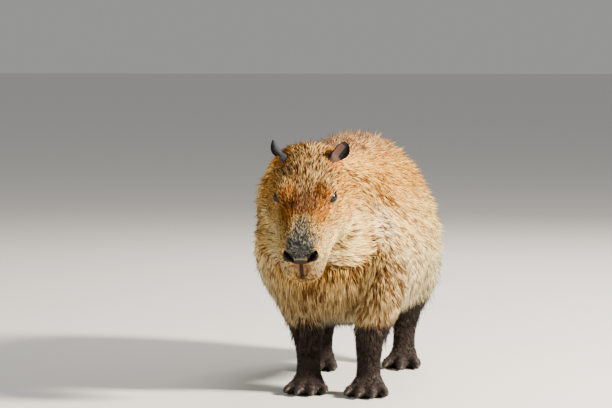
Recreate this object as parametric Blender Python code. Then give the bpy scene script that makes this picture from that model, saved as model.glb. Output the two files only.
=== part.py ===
# Capybara, life size, standing still with its head lowered and set to its right.
# Metres. +Z up, the animal faces -Y, its left side is +X, and the floor is Z = 0.

import math

import bmesh
import bpy
import numpy as np
from mathutils import Matrix, Vector
from mathutils.bvhtree import BVHTree

# Driving sizes of the body, measured to the tips of the coat
BACK_Z = 0.518
BELLY_Z = 0.130
BODY_HALF_WIDTH = 0.184
CHEST_Y = -0.330
RUMP_Y = 0.458

# The head hangs in its own frame: B runs back from the nose, U is up, L is the animal's left
NOSE_TIP = Vector((-0.053, -0.497, 0.298))
HEAD_PITCH = math.radians(36)
HEAD_LENGTH = 0.255
BACK_AXIS = Vector((0, math.cos(HEAD_PITCH), math.sin(HEAD_PITCH)))
UP_AXIS = Vector((0, -math.sin(HEAD_PITCH), math.cos(HEAD_PITCH)))
LEFT_AXIS = Vector((1, 0, 0))

EYE_RADIUS = 0.0125
EYE_PLACE = (0.0500, 0.141, 0.034)
EYE_FACING = (0.80, -0.45, 0.35)
EYE_SLIT = (0.019, 0.026, 0.012)
LID_THICKNESS = 0.0022

EAR_PLACE = (0.049, 0.228, 0.062)
EAR_LENGTH = 0.043
EAR_HALF_WIDTH = 0.0165

# Where each foot stands, left then right: the middle of the leg at the wrist or heel
FOREFOOT_PLACES = {"left": (0.062, -0.268), "right": (-0.063, -0.240)}
HINDFOOT_PLACES = {"left": (0.100, 0.222), "right": (-0.078, 0.165)}
FORELEG_TOP_Z = 0.185
HINDLEG_TOP_Z = 0.190

# Touching pieces keep this gap
GAP = 0.0003

# The finished animal is moved by this, to stand over the origin
STANDS_AT = Vector((0.0018, 0.0248, 0))

# The coat: a core well under the tips carries flat, tapered locks that reach the sizes above
CORE_DEPTH = 0.013
LOCK_SPACING = 0.050
LOCK_STEP = 0.076
LOCK_LENGTH = 0.118
LOCK_WIDTH = 0.050
LOCK_THICKNESS = 0.0055
LOCK_ROOT = 0.007
LOCK_SEED = 5

AROUND_TRUNK = 24
AROUND_HEAD = 24
AROUND_LEG = 10

# One row a section: place along, sideways shift, half width, top, bottom, height of the widest point
TORSO_SECTIONS = [
    (RUMP_Y - 0.010, 0.000, 0.072, 0.392, 0.262, 0.322),
    (RUMP_Y - 0.038, 0.000, 0.118, 0.434, 0.218, 0.312),
    (RUMP_Y - 0.085, 0.000, 0.152, 0.470, 0.184, 0.298),
    (0.295, 0.000, 0.175, BACK_Z - 0.018, BELLY_Z + 0.038, 0.285),
    (0.200, 0.000, BODY_HALF_WIDTH, BACK_Z - 0.004, BELLY_Z + 0.020, 0.275),
    (0.080, 0.000, BODY_HALF_WIDTH, BACK_Z, BELLY_Z + 0.004, 0.268),
    (-0.040, -0.005, BODY_HALF_WIDTH - 0.002, BACK_Z - 0.002, BELLY_Z, 0.270),
    (-0.140, -0.014, 0.174, BACK_Z - 0.012, BELLY_Z + 0.006, 0.280),
    (-0.215, -0.020, 0.155, 0.490, 0.148, 0.290),
    (-0.275, -0.026, 0.124, 0.450, 0.168, 0.292),
    (CHEST_Y + 0.012, -0.030, 0.080, 0.395, 0.210, 0.295),
]
TORSO_SQUARENESS = 2.12
TORSO_TAPER = 0.19

# Neck sections: middle of the section, tilt in degrees, half width, reach up, reach down
NECK_SECTIONS = [
    ((-0.018, -0.110, 0.355), 0, 0.145, 0.138, 0.140),
    ((-0.030, -0.190, 0.366), 8, 0.143, 0.138, 0.145),
    ((-0.042, -0.250, 0.375), 18, 0.130, 0.130, 0.140),
    ((-0.050, -0.300, 0.386), 28, 0.108, 0.110, 0.124),
    ((-0.053, -0.352, 0.392), 36, 0.070, 0.066, 0.082),
]

# Head sections: distance back from the nose, half width, top, bottom, widest level, squareness
HEAD_SECTIONS = [
    (0.0040, 0.0320, 0.0250, -0.0580, -0.012, 3.0),
    (0.0130, 0.0400, 0.0330, -0.0735, -0.017, 2.9),
    (0.0280, 0.0455, 0.0370, -0.0820, -0.020, 2.8),
    (0.0480, 0.0490, 0.0390, -0.0855, -0.022, 2.8),
    (0.0750, 0.0520, 0.0405, -0.0875, -0.023, 2.8),
    (0.1000, 0.0555, 0.0435, -0.0895, -0.024, 2.7),
    (0.1250, 0.0600, 0.0485, -0.0935, -0.026, 2.7),
    (0.1500, 0.0670, 0.0550, -0.0990, -0.028, 2.6),
    (0.1850, 0.0760, 0.0655, -0.1050, -0.028, 2.5),
    (0.2250, 0.0850, 0.0760, -0.1070, -0.026, 2.3),
    (HEAD_LENGTH, 0.0890, 0.0790, -0.1050, -0.020, 2.2),
]
MOUTH_LEVEL = -0.0620
MOUTH_CORNER = 0.058
MOUTH_GROOVE = 0.0022

COLOURS = {
    "coat": ((0.62, 0.42, 0.22), 0.80),
    "face": ((0.47, 0.29, 0.12), 0.80),
    "leg": ((0.075, 0.060, 0.050), 0.75),
    "ear": ((0.12, 0.11, 0.11), 0.70),
    "eye": ((0.015, 0.010, 0.008), 0.10),
    "claw": ((0.055, 0.045, 0.040), 0.35),
}


def clear_scene():
    for thing in list(bpy.data.objects):
        bpy.data.objects.remove(thing)


def new_collection(name):
    made = bpy.data.collections.new(name)
    bpy.context.scene.collection.children.link(made)
    return made


def make_material(name):
    colour, roughness = COLOURS[name]
    made = bpy.data.materials.new(name)
    made.use_nodes = True
    shader = made.node_tree.nodes["Principled BSDF"]
    shader.inputs["Base Color"].default_value = (*colour, 1)
    shader.inputs["Roughness"].default_value = roughness
    shader.inputs["Metallic"].default_value = 0
    made.diffuse_color = (*colour, 1)
    return made


def place_object(name, mesh, collection, material=None):
    made = bpy.data.objects.new(name, mesh)
    collection.objects.link(made)
    if material:
        mesh.materials.clear()
        mesh.materials.append(material)
    return made


# Helpers for lofts

def smooth_rows(rows, count):
    """Rows of numbers read off at count even steps along a curve through them."""
    rows = np.array(rows, float)
    padded = np.vstack([2 * rows[0] - rows[1], rows, 2 * rows[-1] - rows[-2]])
    steps = np.linspace(0, len(rows) - 1, count)
    out = []
    for step in steps:
        k = min(int(step), len(rows) - 2)
        t = step - k
        a, b, c, d = padded[k : k + 4]
        out.append(
            0.5
            * (
                2 * b
                + (c - a) * t
                + (2 * a - 5 * b + 4 * c - d) * t * t
                + (3 * b - a - 3 * c + d) * t**3
            )
        )
    return out


def ring_points(centre, side, up, half_width, reach_up, reach_down, squareness, around, taper=0.0):
    """A rounded, egg-shaped section in the plane of side and up."""
    points = []
    for k in range(around):
        angle = 2 * math.pi * k / around
        c, s = math.cos(angle), math.sin(angle)
        across = math.copysign(abs(c) ** (2 / squareness), c) * half_width
        rise = math.copysign(abs(s) ** (2 / squareness), s)
        across *= 1 - taper * max(0.0, rise)
        rise *= reach_up if rise > 0 else reach_down
        points.append(centre + side * across + up * rise)
    return points


def loft(name, rings, start=None, end=None):
    """A closed mesh through rings of equal length. start and end are the poles, or None for a flat end."""
    body = bmesh.new()
    rows = [[body.verts.new(p) for p in ring] for ring in rings]
    around = len(rows[0])
    for low, high in zip(rows, rows[1:]):
        for k in range(around):
            j = (k + 1) % around
            body.faces.new((low[k], low[j], high[j]))
            body.faces.new((low[k], high[j], high[k]))
    for row, pole, first in ((rows[0], start, True), (rows[-1], end, False)):
        if pole is None:
            body.faces.new(row)
            continue
        tip = body.verts.new(pole)
        for k in range(around):
            body.faces.new((row[k], row[(k + 1) % around], tip))
    bmesh.ops.recalc_face_normals(body, faces=body.faces)
    bmesh.ops.triangulate(body, faces=body.faces)
    mesh = bpy.data.meshes.new(name)
    body.to_mesh(mesh)
    body.free()
    return mesh


def ellipsoid(name, centre, radii, turn=(0, 0, 0), segments=14, rings=9):
    body = bmesh.new()
    bmesh.ops.create_uvsphere(body, u_segments=segments, v_segments=rings, radius=1)
    turned = Matrix.Translation(centre)
    for angle, axis in zip(turn, "XYZ"):
        turned = turned @ Matrix.Rotation(math.radians(angle), 4, axis)
    bmesh.ops.transform(body, matrix=turned @ Matrix.Diagonal((*radii, 1)), verts=body.verts)
    bmesh.ops.triangulate(body, faces=body.faces)
    mesh = bpy.data.meshes.new(name)
    body.to_mesh(mesh)
    body.free()
    return mesh


def grown(mesh, by=1.4 * GAP):
    """The mesh with its surface moved out by this much, as the cutter of the seat that it stands in."""
    body = bmesh.new()
    body.from_mesh(mesh)
    body.normal_update()
    for vertex in body.verts:
        vertex.co += vertex.normal * (by * vertex.calc_shell_factor())
    body.to_mesh(mesh)
    body.free()
    return mesh


def box(name, low, high):
    body = bmesh.new()
    bmesh.ops.create_cube(body, size=1)
    size = Vector(high) - Vector(low)
    middle = (Vector(high) + Vector(low)) / 2
    placed = Matrix.Translation(middle) @ Matrix.Diagonal((*size, 1))
    bmesh.ops.transform(body, matrix=placed, verts=body.verts)
    mesh = bpy.data.meshes.new(name)
    body.to_mesh(mesh)
    body.free()
    return mesh


# Helpers for joining and cutting

def combine(target, meshes, operation):
    """Joins or cuts the target with all these closed meshes, in one Boolean."""
    group = new_collection("cutters")
    for number, mesh in enumerate(meshes):
        cutter = place_object(f"cutter_{number}", mesh, group)
        cutter.hide_render = True
        cutter.display_type = "WIRE"
    change = target.modifiers.new("combine", "BOOLEAN")
    change.operation = operation
    change.operand_type = "COLLECTION"
    change.collection = group
    change.solver = "MANIFOLD"
    apply_modifiers(target)
    for cutter in list(group.objects):
        bpy.data.objects.remove(cutter)
    bpy.data.collections.remove(group)


def apply_modifiers(target):
    bpy.context.view_layer.update()
    made = bpy.data.meshes.new_from_object(target.evaluated_get(bpy.context.evaluated_depsgraph_get()))
    target.modifiers.clear()
    target.data = made


def closed_surfaces(mesh):
    """The mesh split into its separate closed surfaces, largest volume first."""
    body = bmesh.new()
    body.from_mesh(mesh)
    unseen = set(body.faces)
    pieces = []
    while unseen:
        group, queue = [], [unseen.pop()]
        while queue:
            face = queue.pop()
            group.append(face)
            found = {other for edge in face.edges for other in edge.link_faces} & unseen
            unseen -= found
            queue.extend(found)
        piece = bmesh.new()
        made = {v: piece.verts.new(v.co) for v in {v for face in group for v in face.verts}}
        for face in group:
            corners = [made[v] for v in face.verts]
            twin = piece.faces.get(corners)
            if twin:
                piece.faces.remove(twin)
            else:
                piece.faces.new(corners)
        pieces.append((piece.calc_volume(signed=True), piece))
    body.free()
    pieces.sort(key=lambda pair: -pair[0])
    return pieces


def middle_of(piece):
    return sum((v.co for v in piece.verts), Vector()) / len(piece.verts)


def keep_largest(target):
    """The object keeps only its largest closed surface."""
    pieces = closed_surfaces(target.data)
    pieces[0][1].to_mesh(target.data)
    for _, piece in pieces:
        piece.free()


# The trunk

def torso_mesh(inset):
    rings = []
    for along, shift, half_width, top, bottom, widest in smooth_rows(TORSO_SECTIONS, 19):
        rings.append(
            ring_points(
                Vector((shift, along, widest)), Vector((1, 0, 0)), Vector((0, 0, 1)),
                half_width - inset, top - widest - inset, widest - bottom - inset,
                TORSO_SQUARENESS, AROUND_TRUNK, TORSO_TAPER,
            )
        )
    return loft("torso", rings, Vector((0, RUMP_Y - inset, 0.318)), Vector((-0.031, CHEST_Y + inset, 0.290)))


def neck_mesh(inset):
    rows = [(*centre, tilt, w, up, down) for centre, tilt, w, up, down in NECK_SECTIONS]
    rings = []
    for x, y, z, tilt, half_width, up, down in smooth_rows(rows, 8):
        lean = math.radians(tilt)
        rise = Vector((0, -math.sin(lean), math.cos(lean)))
        rings.append(
            ring_points(
                Vector((x, y, z)), Vector((1, 0, 0)), rise,
                half_width - inset, up - inset, down - inset, 2.1, AROUND_TRUNK,
            )
        )
    return loft("neck", rings)


def muscle_meshes(inset):
    """The rounded masses of the breast, thighs and upper arms."""
    breast = Vector((0.146, 0.088, 0.116))
    thigh = Vector((0.076, 0.116, 0.122))
    shoulder = Vector((0.058, 0.080, 0.124))
    less = Vector((inset, inset, inset))
    made = [ellipsoid("breast", (-0.034, -0.232, 0.302), breast - less)]
    for side, sign in (("left", 1), ("right", -1)):
        x, y = HINDFOOT_PLACES[side]
        made.append(ellipsoid("thigh", (sign * 0.104, y + 0.060, 0.240), thigh - less, (12, 0, 0)))
        x, y = FOREFOOT_PLACES[side]
        place = (x + sign * 0.022, y + 0.034, 0.250)
        made.append(ellipsoid("shoulder", place, shoulder - less, (-10, 0, 0)))
    return made


def trunk_object(inset, scratch):
    """Torso, neck and muscles as one closed body, this far under the tips of the coat."""
    body = place_object("body", torso_mesh(inset), scratch)
    combine(body, [neck_mesh(inset), *muscle_meshes(inset)], "UNION")
    return body


# The coat's locks

def tree_of(mesh):
    mesh.calc_loop_triangles()
    points = [v.co.copy() for v in mesh.vertices]
    return BVHTree.FromPolygons(points, [tuple(t.vertices) for t in mesh.loop_triangles])


def meets(tree, point, margin):
    """Whether a point is inside a closed surface or this near to it."""
    if tree.find_nearest(point)[3] < margin:
        return True
    ahead = Vector((0.12, 0.09, 1)).normalized()
    crossings = 0
    place = tree.ray_cast(point, ahead)[0]
    while place:
        crossings += 1
        place = tree.ray_cast(place + ahead * 1e-5, ahead)[0]
    return crossings % 2 == 1


def hair_lie(normal):
    """The way the hair lies: back along the body, and down its sides, breast and rump."""
    down = 0.15 + 0.65 * abs(normal.x) + 1.8 * max(0.0, -normal.y) + 0.8 * max(0.0, normal.y)
    lie = Vector((0, 1, -down))
    return (lie - normal * lie.dot(normal)).normalized()


def lock_roots(mesh, tree, draw):
    """Places on the surface, in a seeded order, each clear of the locks beside, before and behind it."""
    points = [tuple(round(v, 6) for v in vertex.co) for vertex in mesh.vertices]
    corners = np.array(sorted([points[k] for k in t.vertices] for t in mesh.loop_triangles))
    areas = np.linalg.norm(np.cross(corners[:, 1] - corners[:, 0], corners[:, 2] - corners[:, 0]), axis=1)
    picked = draw.choice(len(areas), 9000, p=areas / areas.sum())
    shares = draw.random((9000, 2))
    shares = np.where(shares.sum(axis=1, keepdims=True) > 1, 1 - shares, shares)
    places, lies = np.empty((0, 3)), np.empty((0, 3))
    for row, (a, b) in zip(corners[picked], shares):
        place = row[0] + a * (row[1] - row[0]) + b * (row[2] - row[0])
        apart = place - places
        along = (apart * lies).sum(axis=1)
        across = (apart**2).sum(axis=1) - along**2
        if len(places) and (across / LOCK_SPACING**2 + (along / LOCK_STEP) ** 2).min() < 1:
            continue
        places = np.vstack([places, place])
        lies = np.vstack([lies, hair_lie(tree.find_nearest(Vector(place))[1])])
    return [Vector(place) for place in places]


def lock_path(tree, root, length, swing):
    """Places and normals from a root, the way the hair lies, leaving the surface where it bends away."""
    place, normal, _, _ = tree.find_nearest(root)
    ahead = Matrix.Rotation(swing, 3, normal) @ hair_lie(normal)
    steps = [(place, normal)]
    for _ in range(8):
        lie = Matrix.Rotation(swing, 3, normal) @ hair_lie(normal)
        ahead = (ahead + lie).normalized()
        beyond = place + ahead * (length / 8)
        near, facing, _, _ = tree.find_nearest(beyond)
        place = beyond.lerp(near, 0.7)
        normal = (normal + facing).normalized()
        steps.append((place, normal))
    return steps


# Share of the length, height over the coat's surface, share of the width
LOCK_STATIONS = [
    (0.000, -CORE_DEPTH - LOCK_ROOT, 0.75),
    (0.375, -0.0095, 1.00),
    (0.750, -0.0015, 0.66),
    (1.000, 0.0035, 0.00),
]


def runs_smoothly(steps):
    """Whether a path goes on ahead all its way, with no fold or sudden turn."""
    moves = [after[0] - before[0] for before, after in zip(steps, steps[1:])]
    reach = (steps[-1][0] - steps[0][0]).length
    if reach < 0.8 * sum(move.length for move in moves):
        return False
    straight = all(a.normalized().dot(b.normalized()) > 0.5 for a, b in zip(moves, moves[1:]))
    return straight and all(a[1].dot(b[1]) > 0.3 for a, b in zip(steps, steps[3:]))


def lock_mesh(steps, width, blockers):
    """One flat, tapered lock bent along its path, or None where it would run into another node."""
    rings, tip = [], None
    if not runs_smoothly(steps):
        return None
    for share, height, breadth in LOCK_STATIONS:
        k = round(share * 8)
        place, normal = steps[k]
        ahead = (steps[min(k + 1, 8)][0] - steps[max(k - 1, 0)][0]).normalized()
        side = ahead.cross(normal).normalized()
        centre = place + normal * height
        if share > 0 and any(meets(tree, centre, 0.006) for tree in blockers):
            return None
        if share == 1:
            tip = centre
            continue
        half = side * (width * breadth / 2)
        low = normal * (LOCK_THICKNESS * 0.35)
        rings.append([centre - half - low, centre + half - low, centre + normal * (LOCK_THICKNESS * 0.65)])
    return loft("lock", rings, None, tip)


def lock_meshes(scratch):
    outer = trunk_object(0.0, scratch)
    tree = tree_of(outer.data)
    blockers = [tree_of(head_mesh()), tree_of(ear_mesh(1)), tree_of(ear_mesh(-1))]
    for side in ("left", "right"):
        blockers += [tree_of(leg_mesh(foreleg_sections(side))), tree_of(leg_mesh(hindleg_sections(side)))]
    draw = np.random.default_rng(LOCK_SEED)
    made = []
    for root in lock_roots(outer.data, tree, draw):
        _, normal, _, _ = tree.find_nearest(root)
        longer = 1 + 0.30 * max(0.0, -normal.z) + 0.15 * abs(normal.x)
        length = LOCK_LENGTH * longer * draw.uniform(0.88, 1.15)
        width = LOCK_WIDTH * draw.uniform(0.88, 1.12)
        swing = math.radians(draw.uniform(-13, 13))
        for shorter in (1.0, 0.75, 0.55, 0.40):
            lock = lock_mesh(lock_path(tree, root, length * shorter, swing), width * shorter**0.5, blockers)
            if lock:
                made.append(lock)
                break
    bpy.data.objects.remove(outer)
    return made


# The head

def head_point(left, back, up):
    return NOSE_TIP + LEFT_AXIS * left + BACK_AXIS * back + UP_AXIS * up


def head_direction(left, back, up):
    return (LEFT_AXIS * left + BACK_AXIS * back + UP_AXIS * up).normalized()


def head_mesh():
    rings = []
    for back, half_width, top, bottom, widest, squareness in smooth_rows(HEAD_SECTIONS, 19):
        rings.append(
            ring_points(
                head_point(0, back, widest), LEFT_AXIS, UP_AXIS,
                half_width, top - widest, widest - bottom, squareness, AROUND_HEAD,
            )
        )
    return loft("head", rings, head_point(0, 0, -0.008))


def eye_frame(sign):
    """Where an eye sits, which way it looks, and the line of its slit."""
    left, back, up = EYE_PLACE
    place = head_point(sign * left, back, up)
    facing = head_direction(sign * EYE_FACING[0], EYE_FACING[1], EYE_FACING[2])
    slit = head_direction(sign * EYE_SLIT[0], EYE_SLIT[1], EYE_SLIT[2])
    slit = (slit - facing * slit.dot(facing)).normalized()
    return place, facing, slit


def eye_mesh(sign):
    return ellipsoid("eye", eye_frame(sign)[0], [EYE_RADIUS] * 3, segments=14, rings=8)


def lid_mesh(sign):
    """The mound of both lids, round the eyeball and drawn out to the two corners."""
    place, facing, slit = eye_frame(sign)
    across = facing.cross(slit)
    size = EYE_RADIUS + LID_THICKNESS
    mesh = ellipsoid("lid", (0, 0, 0), (size * 1.30, size * 1.02, size), segments=14, rings=8)
    turned = Matrix((slit, across, facing)).transposed().to_4x4()
    mesh.transform(Matrix.Translation(place) @ turned)
    return mesh


def slit_mesh(sign):
    """The almond opening between the lids, as a cutter."""
    place, facing, slit = eye_frame(sign)
    across = facing.cross(slit)
    half_length, half_height = 0.0130, 0.0058
    outline = []
    for k in range(16):
        angle = 2 * math.pi * k / 16
        x = math.cos(angle) * half_length
        y = math.sin(angle) * half_height * (1 - 0.45 * abs(math.cos(angle)) ** 3)
        outline.append(slit * x + across * y)
    near = [place + p + facing * EYE_RADIUS * 0.45 for p in outline]
    far = [place + p * 1.06 + facing * (EYE_RADIUS + 0.012) for p in outline]
    return loft("slit", [near, far])


def nostril_mesh(sign):
    """A comma-shaped nostril, as a cutter."""
    rings = []
    for k, size in enumerate((0.55, 0.95, 1.0, 0.85, 0.6)):
        back = 0.016 - 0.006 * k
        centre = head_point(sign * (0.0235 + 0.0014 * k), back, 0.0010 - 0.0008 * k)
        rings.append(
            ring_points(
                centre, head_direction(0.92 * sign, 0, -0.38), head_direction(0.38 * sign, 0, 0.92),
                0.0088 * size, 0.0062 * size, 0.0074 * size, 2.0, 12,
            )
        )
    return loft("nostril", rings)


def mouth_mesh():
    """The line of the mouth: a thin curved sheet that goes in as deep as the lips are thick."""
    count = 10
    sheet = bmesh.new()
    rows = []
    for k in range(count):
        turn = math.pi * (k / (count - 1) - 0.5)
        left = 0.056 * math.sin(turn)
        back = MOUTH_CORNER - (MOUTH_CORNER + 0.012) * math.cos(turn)
        droop = MOUTH_LEVEL - 0.010 * abs(math.sin(turn)) ** 1.5
        inner_left = left * 0.66
        inner_back = MOUTH_CORNER - (MOUTH_CORNER - 0.016) * math.cos(turn)
        rows.append(
            [
                sheet.verts.new(head_point(a, b, droop + h))
                for a, b, h in (
                    (left, back, -MOUTH_GROOVE / 2),
                    (left, back, MOUTH_GROOVE / 2),
                    (inner_left, inner_back, MOUTH_GROOVE / 2),
                    (inner_left, inner_back, -MOUTH_GROOVE / 2),
                )
            ]
        )
    for one, two in zip(rows, rows[1:]):
        for k in range(4):
            j = (k + 1) % 4
            sheet.faces.new((one[k], one[j], two[j], two[k]))
    sheet.faces.new(rows[0])
    sheet.faces.new(rows[-1])
    bmesh.ops.recalc_face_normals(sheet, faces=sheet.faces)
    bmesh.ops.triangulate(sheet, faces=sheet.faces)
    mesh = bpy.data.meshes.new("mouth")
    sheet.to_mesh(mesh)
    sheet.free()
    return mesh


def cleft_mesh():
    """The groove from the nose down to the split upper lip."""
    rings = []
    rows = [
        (0.004, 0.004, 0.0010), (-0.012, 0.0045, 0.0013),
        (-0.028, 0.007, 0.0018), (-0.0405, 0.011, 0.0026),
    ]
    for up, back, half_width in rows:
        centre = head_point(0, back - 0.007, up)
        rings.append(
            ring_points(centre, LEFT_AXIS, BACK_AXIS, half_width, 0.0085, 0.0085, 1.6, 8)
        )
    return loft("cleft", rings)


# Ears

def ear_frame(sign):
    """The ear's root, its length, its width, and the way its cup opens."""
    left, back, up = EAR_PLACE
    root = head_point(sign * left, back, up)
    rise = Vector((0.64, 0.08, 0.77) if sign > 0 else (-0.50, 0.10, 0.86)).normalized()
    opens = Vector((sign * 0.62, -0.76, -0.10))
    if sign < 0:
        opens = Vector((-0.98, -0.22, 0.0))
    opens = (opens - rise * opens.dot(rise)).normalized()
    return root, rise, rise.cross(opens), opens


# Share of the ear's length, half width, depth of the cup, wall; shares of EAR_HALF_WIDTH
EAR_SECTIONS = [
    (-0.28, 0.60, 0.00, 0.62),
    (0.02, 0.66, 0.10, 0.60),
    (0.20, 0.82, 0.42, 0.30),
    (0.42, 1.00, 0.62, 0.17),
    (0.64, 1.00, 0.62, 0.14),
    (0.82, 0.82, 0.46, 0.13),
    (0.95, 0.48, 0.20, 0.12),
]


def ear_mesh(sign):
    """A rounded, cupped ear: crescent sections from a full root to a thin edge."""
    root, rise, width_axis, opens = ear_frame(sign)
    half = 6
    rings = []
    for share, half_width, cup, wall in smooth_rows(EAR_SECTIONS, 8):
        centre = root + rise * (share * EAR_LENGTH)
        points = []
        for face in (0, 1):
            for k in range(half):
                t = k / (half - 1) if face == 0 else 1 - k / (half - 1)
                turn = math.pi * (t - 0.5)
                across = math.sin(turn) * half_width * EAR_HALF_WIDTH
                bend = (1 - math.cos(turn)) * cup * EAR_HALF_WIDTH
                thick = wall * EAR_HALF_WIDTH * (0.35 + 0.65 * math.cos(turn))
                offset = bend + (thick if face else -thick)
                points.append(centre + width_axis * across + opens * offset)
        rings.append(points)
    return loft("ear", rings)


# Legs and feet

def leg_mesh(sections):
    rings = []
    for x, y, z, half_x, half_y in smooth_rows(sections, 8):
        rings.append(
            ring_points(
                Vector((x, y, z)), Vector((1, 0, 0)), Vector((0, 1, 0)),
                half_x, half_y, half_y, 2.2, AROUND_LEG,
            )
        )
    return loft("leg", rings)


def foreleg_sections(side):
    x, y = FOREFOOT_PLACES[side]
    out = 1 if side == "left" else -1
    return [
        (x + out * 0.009, y + 0.014, FORELEG_TOP_Z, 0.0320, 0.0370),
        (x + out * 0.006, y + 0.010, 0.150, 0.0300, 0.0345),
        (x + out * 0.002, y + 0.004, 0.110, 0.0258, 0.0290),
        (x, y, 0.075, 0.0240, 0.0260),
        (x, y - 0.003, 0.050, 0.0255, 0.0270),
    ]


def hindleg_sections(side):
    x, y = HINDFOOT_PLACES[side]
    out = 1 if side == "left" else -1
    return [
        (x + out * 0.002, y + 0.042, HINDLEG_TOP_Z, 0.0360, 0.0460),
        (x + out * 0.001, y + 0.050, 0.150, 0.0325, 0.0400),
        (x, y + 0.044, 0.105, 0.0265, 0.0320),
        (x, y + 0.022, 0.072, 0.0245, 0.0290),
        (x, y + 0.004, 0.048, 0.0250, 0.0300),
    ]


FOOT_KINDS = {
    "fore": {
        "places": FOREFOOT_PLACES,
        "ankle_z": 0.050,
        "ankle_back": -0.003,
        "pad": [
            (0.020, 0.022, 0.030), (0.000, 0.0285, 0.046),
            (-0.022, 0.034, 0.040), (-0.042, 0.033, 0.028),
        ],
        "ankle": (0.0245, 0.0255),
        "toes": [
            (-0.0260, -0.024, 20, 0.033), (-0.0092, -0.034, 6, 0.042),
            (0.0092, -0.034, -6, 0.042), (0.0260, -0.024, -20, 0.033),
        ],
        "toe_radius": 0.0102,
        "claw_length": 0.017,
    },
    "hind": {
        "places": HINDFOOT_PLACES,
        "ankle_z": 0.048,
        "ankle_back": 0.004,
        "pad": [
            (0.046, 0.020, 0.030), (0.014, 0.0265, 0.048),
            (-0.022, 0.0315, 0.038), (-0.050, 0.0330, 0.029),
        ],
        "ankle": (0.0240, 0.0285),
        "toes": [(-0.0225, -0.034, 14, 0.041), (0.0000, -0.044, 0, 0.052), (0.0225, -0.034, -14, 0.041)],
        "toe_radius": 0.0118,
        "claw_length": 0.021,
    },
}


def toe_path(kind, x, y, toe):
    """Root, direction and length of one toe."""
    shift, start, splay, length = toe
    turn = math.radians(splay)
    root = Vector((x + shift, y + start, 0.016))
    ahead = Vector((-math.sin(turn), -math.cos(turn), -0.10)).normalized()
    return root, ahead, length


def toe_mesh(kind, x, y, toe):
    root, ahead, length = toe_path(kind, x, y, toe)
    side = ahead.cross(Vector((0, 0, 1))).normalized()
    up = side.cross(ahead)
    size = FOOT_KINDS[kind]["toe_radius"]
    rings = []
    for share, swell in ((-0.30, 1.0), (0.35, 1.05), (0.82, 1.02), (1.0, 0.82)):
        centre = root + ahead * (length * share)
        rings.append(ring_points(centre, side, up, size * swell, size * swell * 0.95, size * 1.35, 2.0, 7))
    return loft("toe", rings)


def claw_mesh(kind, x, y, toe):
    root, ahead, length = toe_path(kind, x, y, toe)
    side = ahead.cross(Vector((0, 0, 1))).normalized()
    up = side.cross(ahead)
    size = FOOT_KINDS[kind]["toe_radius"] * 0.66
    reach = FOOT_KINDS[kind]["claw_length"]
    start = root + ahead * (length + GAP)
    rings = []
    for share, swell in ((0.0, 1.0), (0.35, 0.98), (0.70, 0.76), (0.93, 0.40)):
        centre = start + ahead * (reach * share) - up * (0.0045 * share * share)
        wide = size * swell
        rings.append(ring_points(centre, side, up, wide, wide * 0.9, wide * 0.7, 2.2, 6))
    return loft("claw", rings, None, start + ahead * reach - up * 0.0055)


def foot_mesh(kind, side, scratch):
    plan = FOOT_KINDS[kind]
    x, y = plan["places"][side]
    rings = []
    for back, half_width, height in smooth_rows(plan["pad"], 6):
        rings.append(
            ring_points(
                Vector((x, y + back, height * 0.42)), Vector((1, 0, 0)), Vector((0, 0, 1)),
                half_width, height * 0.58, height * 0.60, 2.3, 12,
            )
        )
    heel = Vector((x, y + plan["pad"][0][0] + 0.012, 0.013))
    front = Vector((x, y + plan["pad"][-1][0] - 0.006, 0.013))
    pad = loft("pad", rings, heel, front)
    foot = place_object("foot", pad, scratch)
    ankle_x, ankle_y = plan["ankle"]
    ankle = []
    for z, grow in ((0.018, 1.10), (0.034, 1.03), (plan["ankle_z"] - GAP, 1.0)):
        ankle.append(
            ring_points(
                Vector((x, y + plan["ankle_back"], z)), Vector((1, 0, 0)), Vector((0, 1, 0)),
                ankle_x * grow, ankle_y * grow, ankle_y * grow, 2.2, AROUND_LEG,
            )
        )
    pieces = [loft("ankle", ankle)] + [toe_mesh(kind, x, y, toe) for toe in plan["toes"]]
    combine(foot, pieces, "UNION")
    combine(foot, [box("below", (x - 0.2, y - 0.3, -0.1), (x + 0.2, y + 0.3, 0.0))], "DIFFERENCE")
    keep_largest(foot)
    mesh = foot.data
    bpy.data.objects.remove(foot)
    return mesh


# Parting the whole body

# The plane between neck and torso: a point on it and its lean
NECK_CUT = (Vector((0, -0.335, 0.270)), -34)


def slab(name, point, lean):
    """A thin slab across the body, its top leaned forward by lean degrees, as a cutter."""
    mesh = box(name, (-0.4, -GAP / 2, -0.5), (0.4, GAP / 2, 0.5))
    mesh.transform(Matrix.Translation(point) @ Matrix.Rotation(math.radians(lean), 4, "X"))
    return mesh


def ahead_of(point, cut):
    """How far a point lies ahead of a cut, towards the nose."""
    place, lean = cut
    normal = Matrix.Rotation(math.radians(lean), 3, "X") @ Vector((0, -1, 0))
    return (point - place).dot(normal)


def make_head(collection, material):
    head = place_object("head", head_mesh(), collection, material)
    combine(head, [lid_mesh(1), lid_mesh(-1)], "UNION")
    cutters = [mouth_mesh(), cleft_mesh()]
    for sign in (1, -1):
        cutters += [grown(eye_mesh(sign)), slit_mesh(sign), nostril_mesh(sign), grown(ear_mesh(sign))]
    for cutter in cutters:
        combine(head, [cutter], "DIFFERENCE")
    keep_largest(head)
    head.data.materials.clear()
    head.data.materials.append(material)


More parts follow.
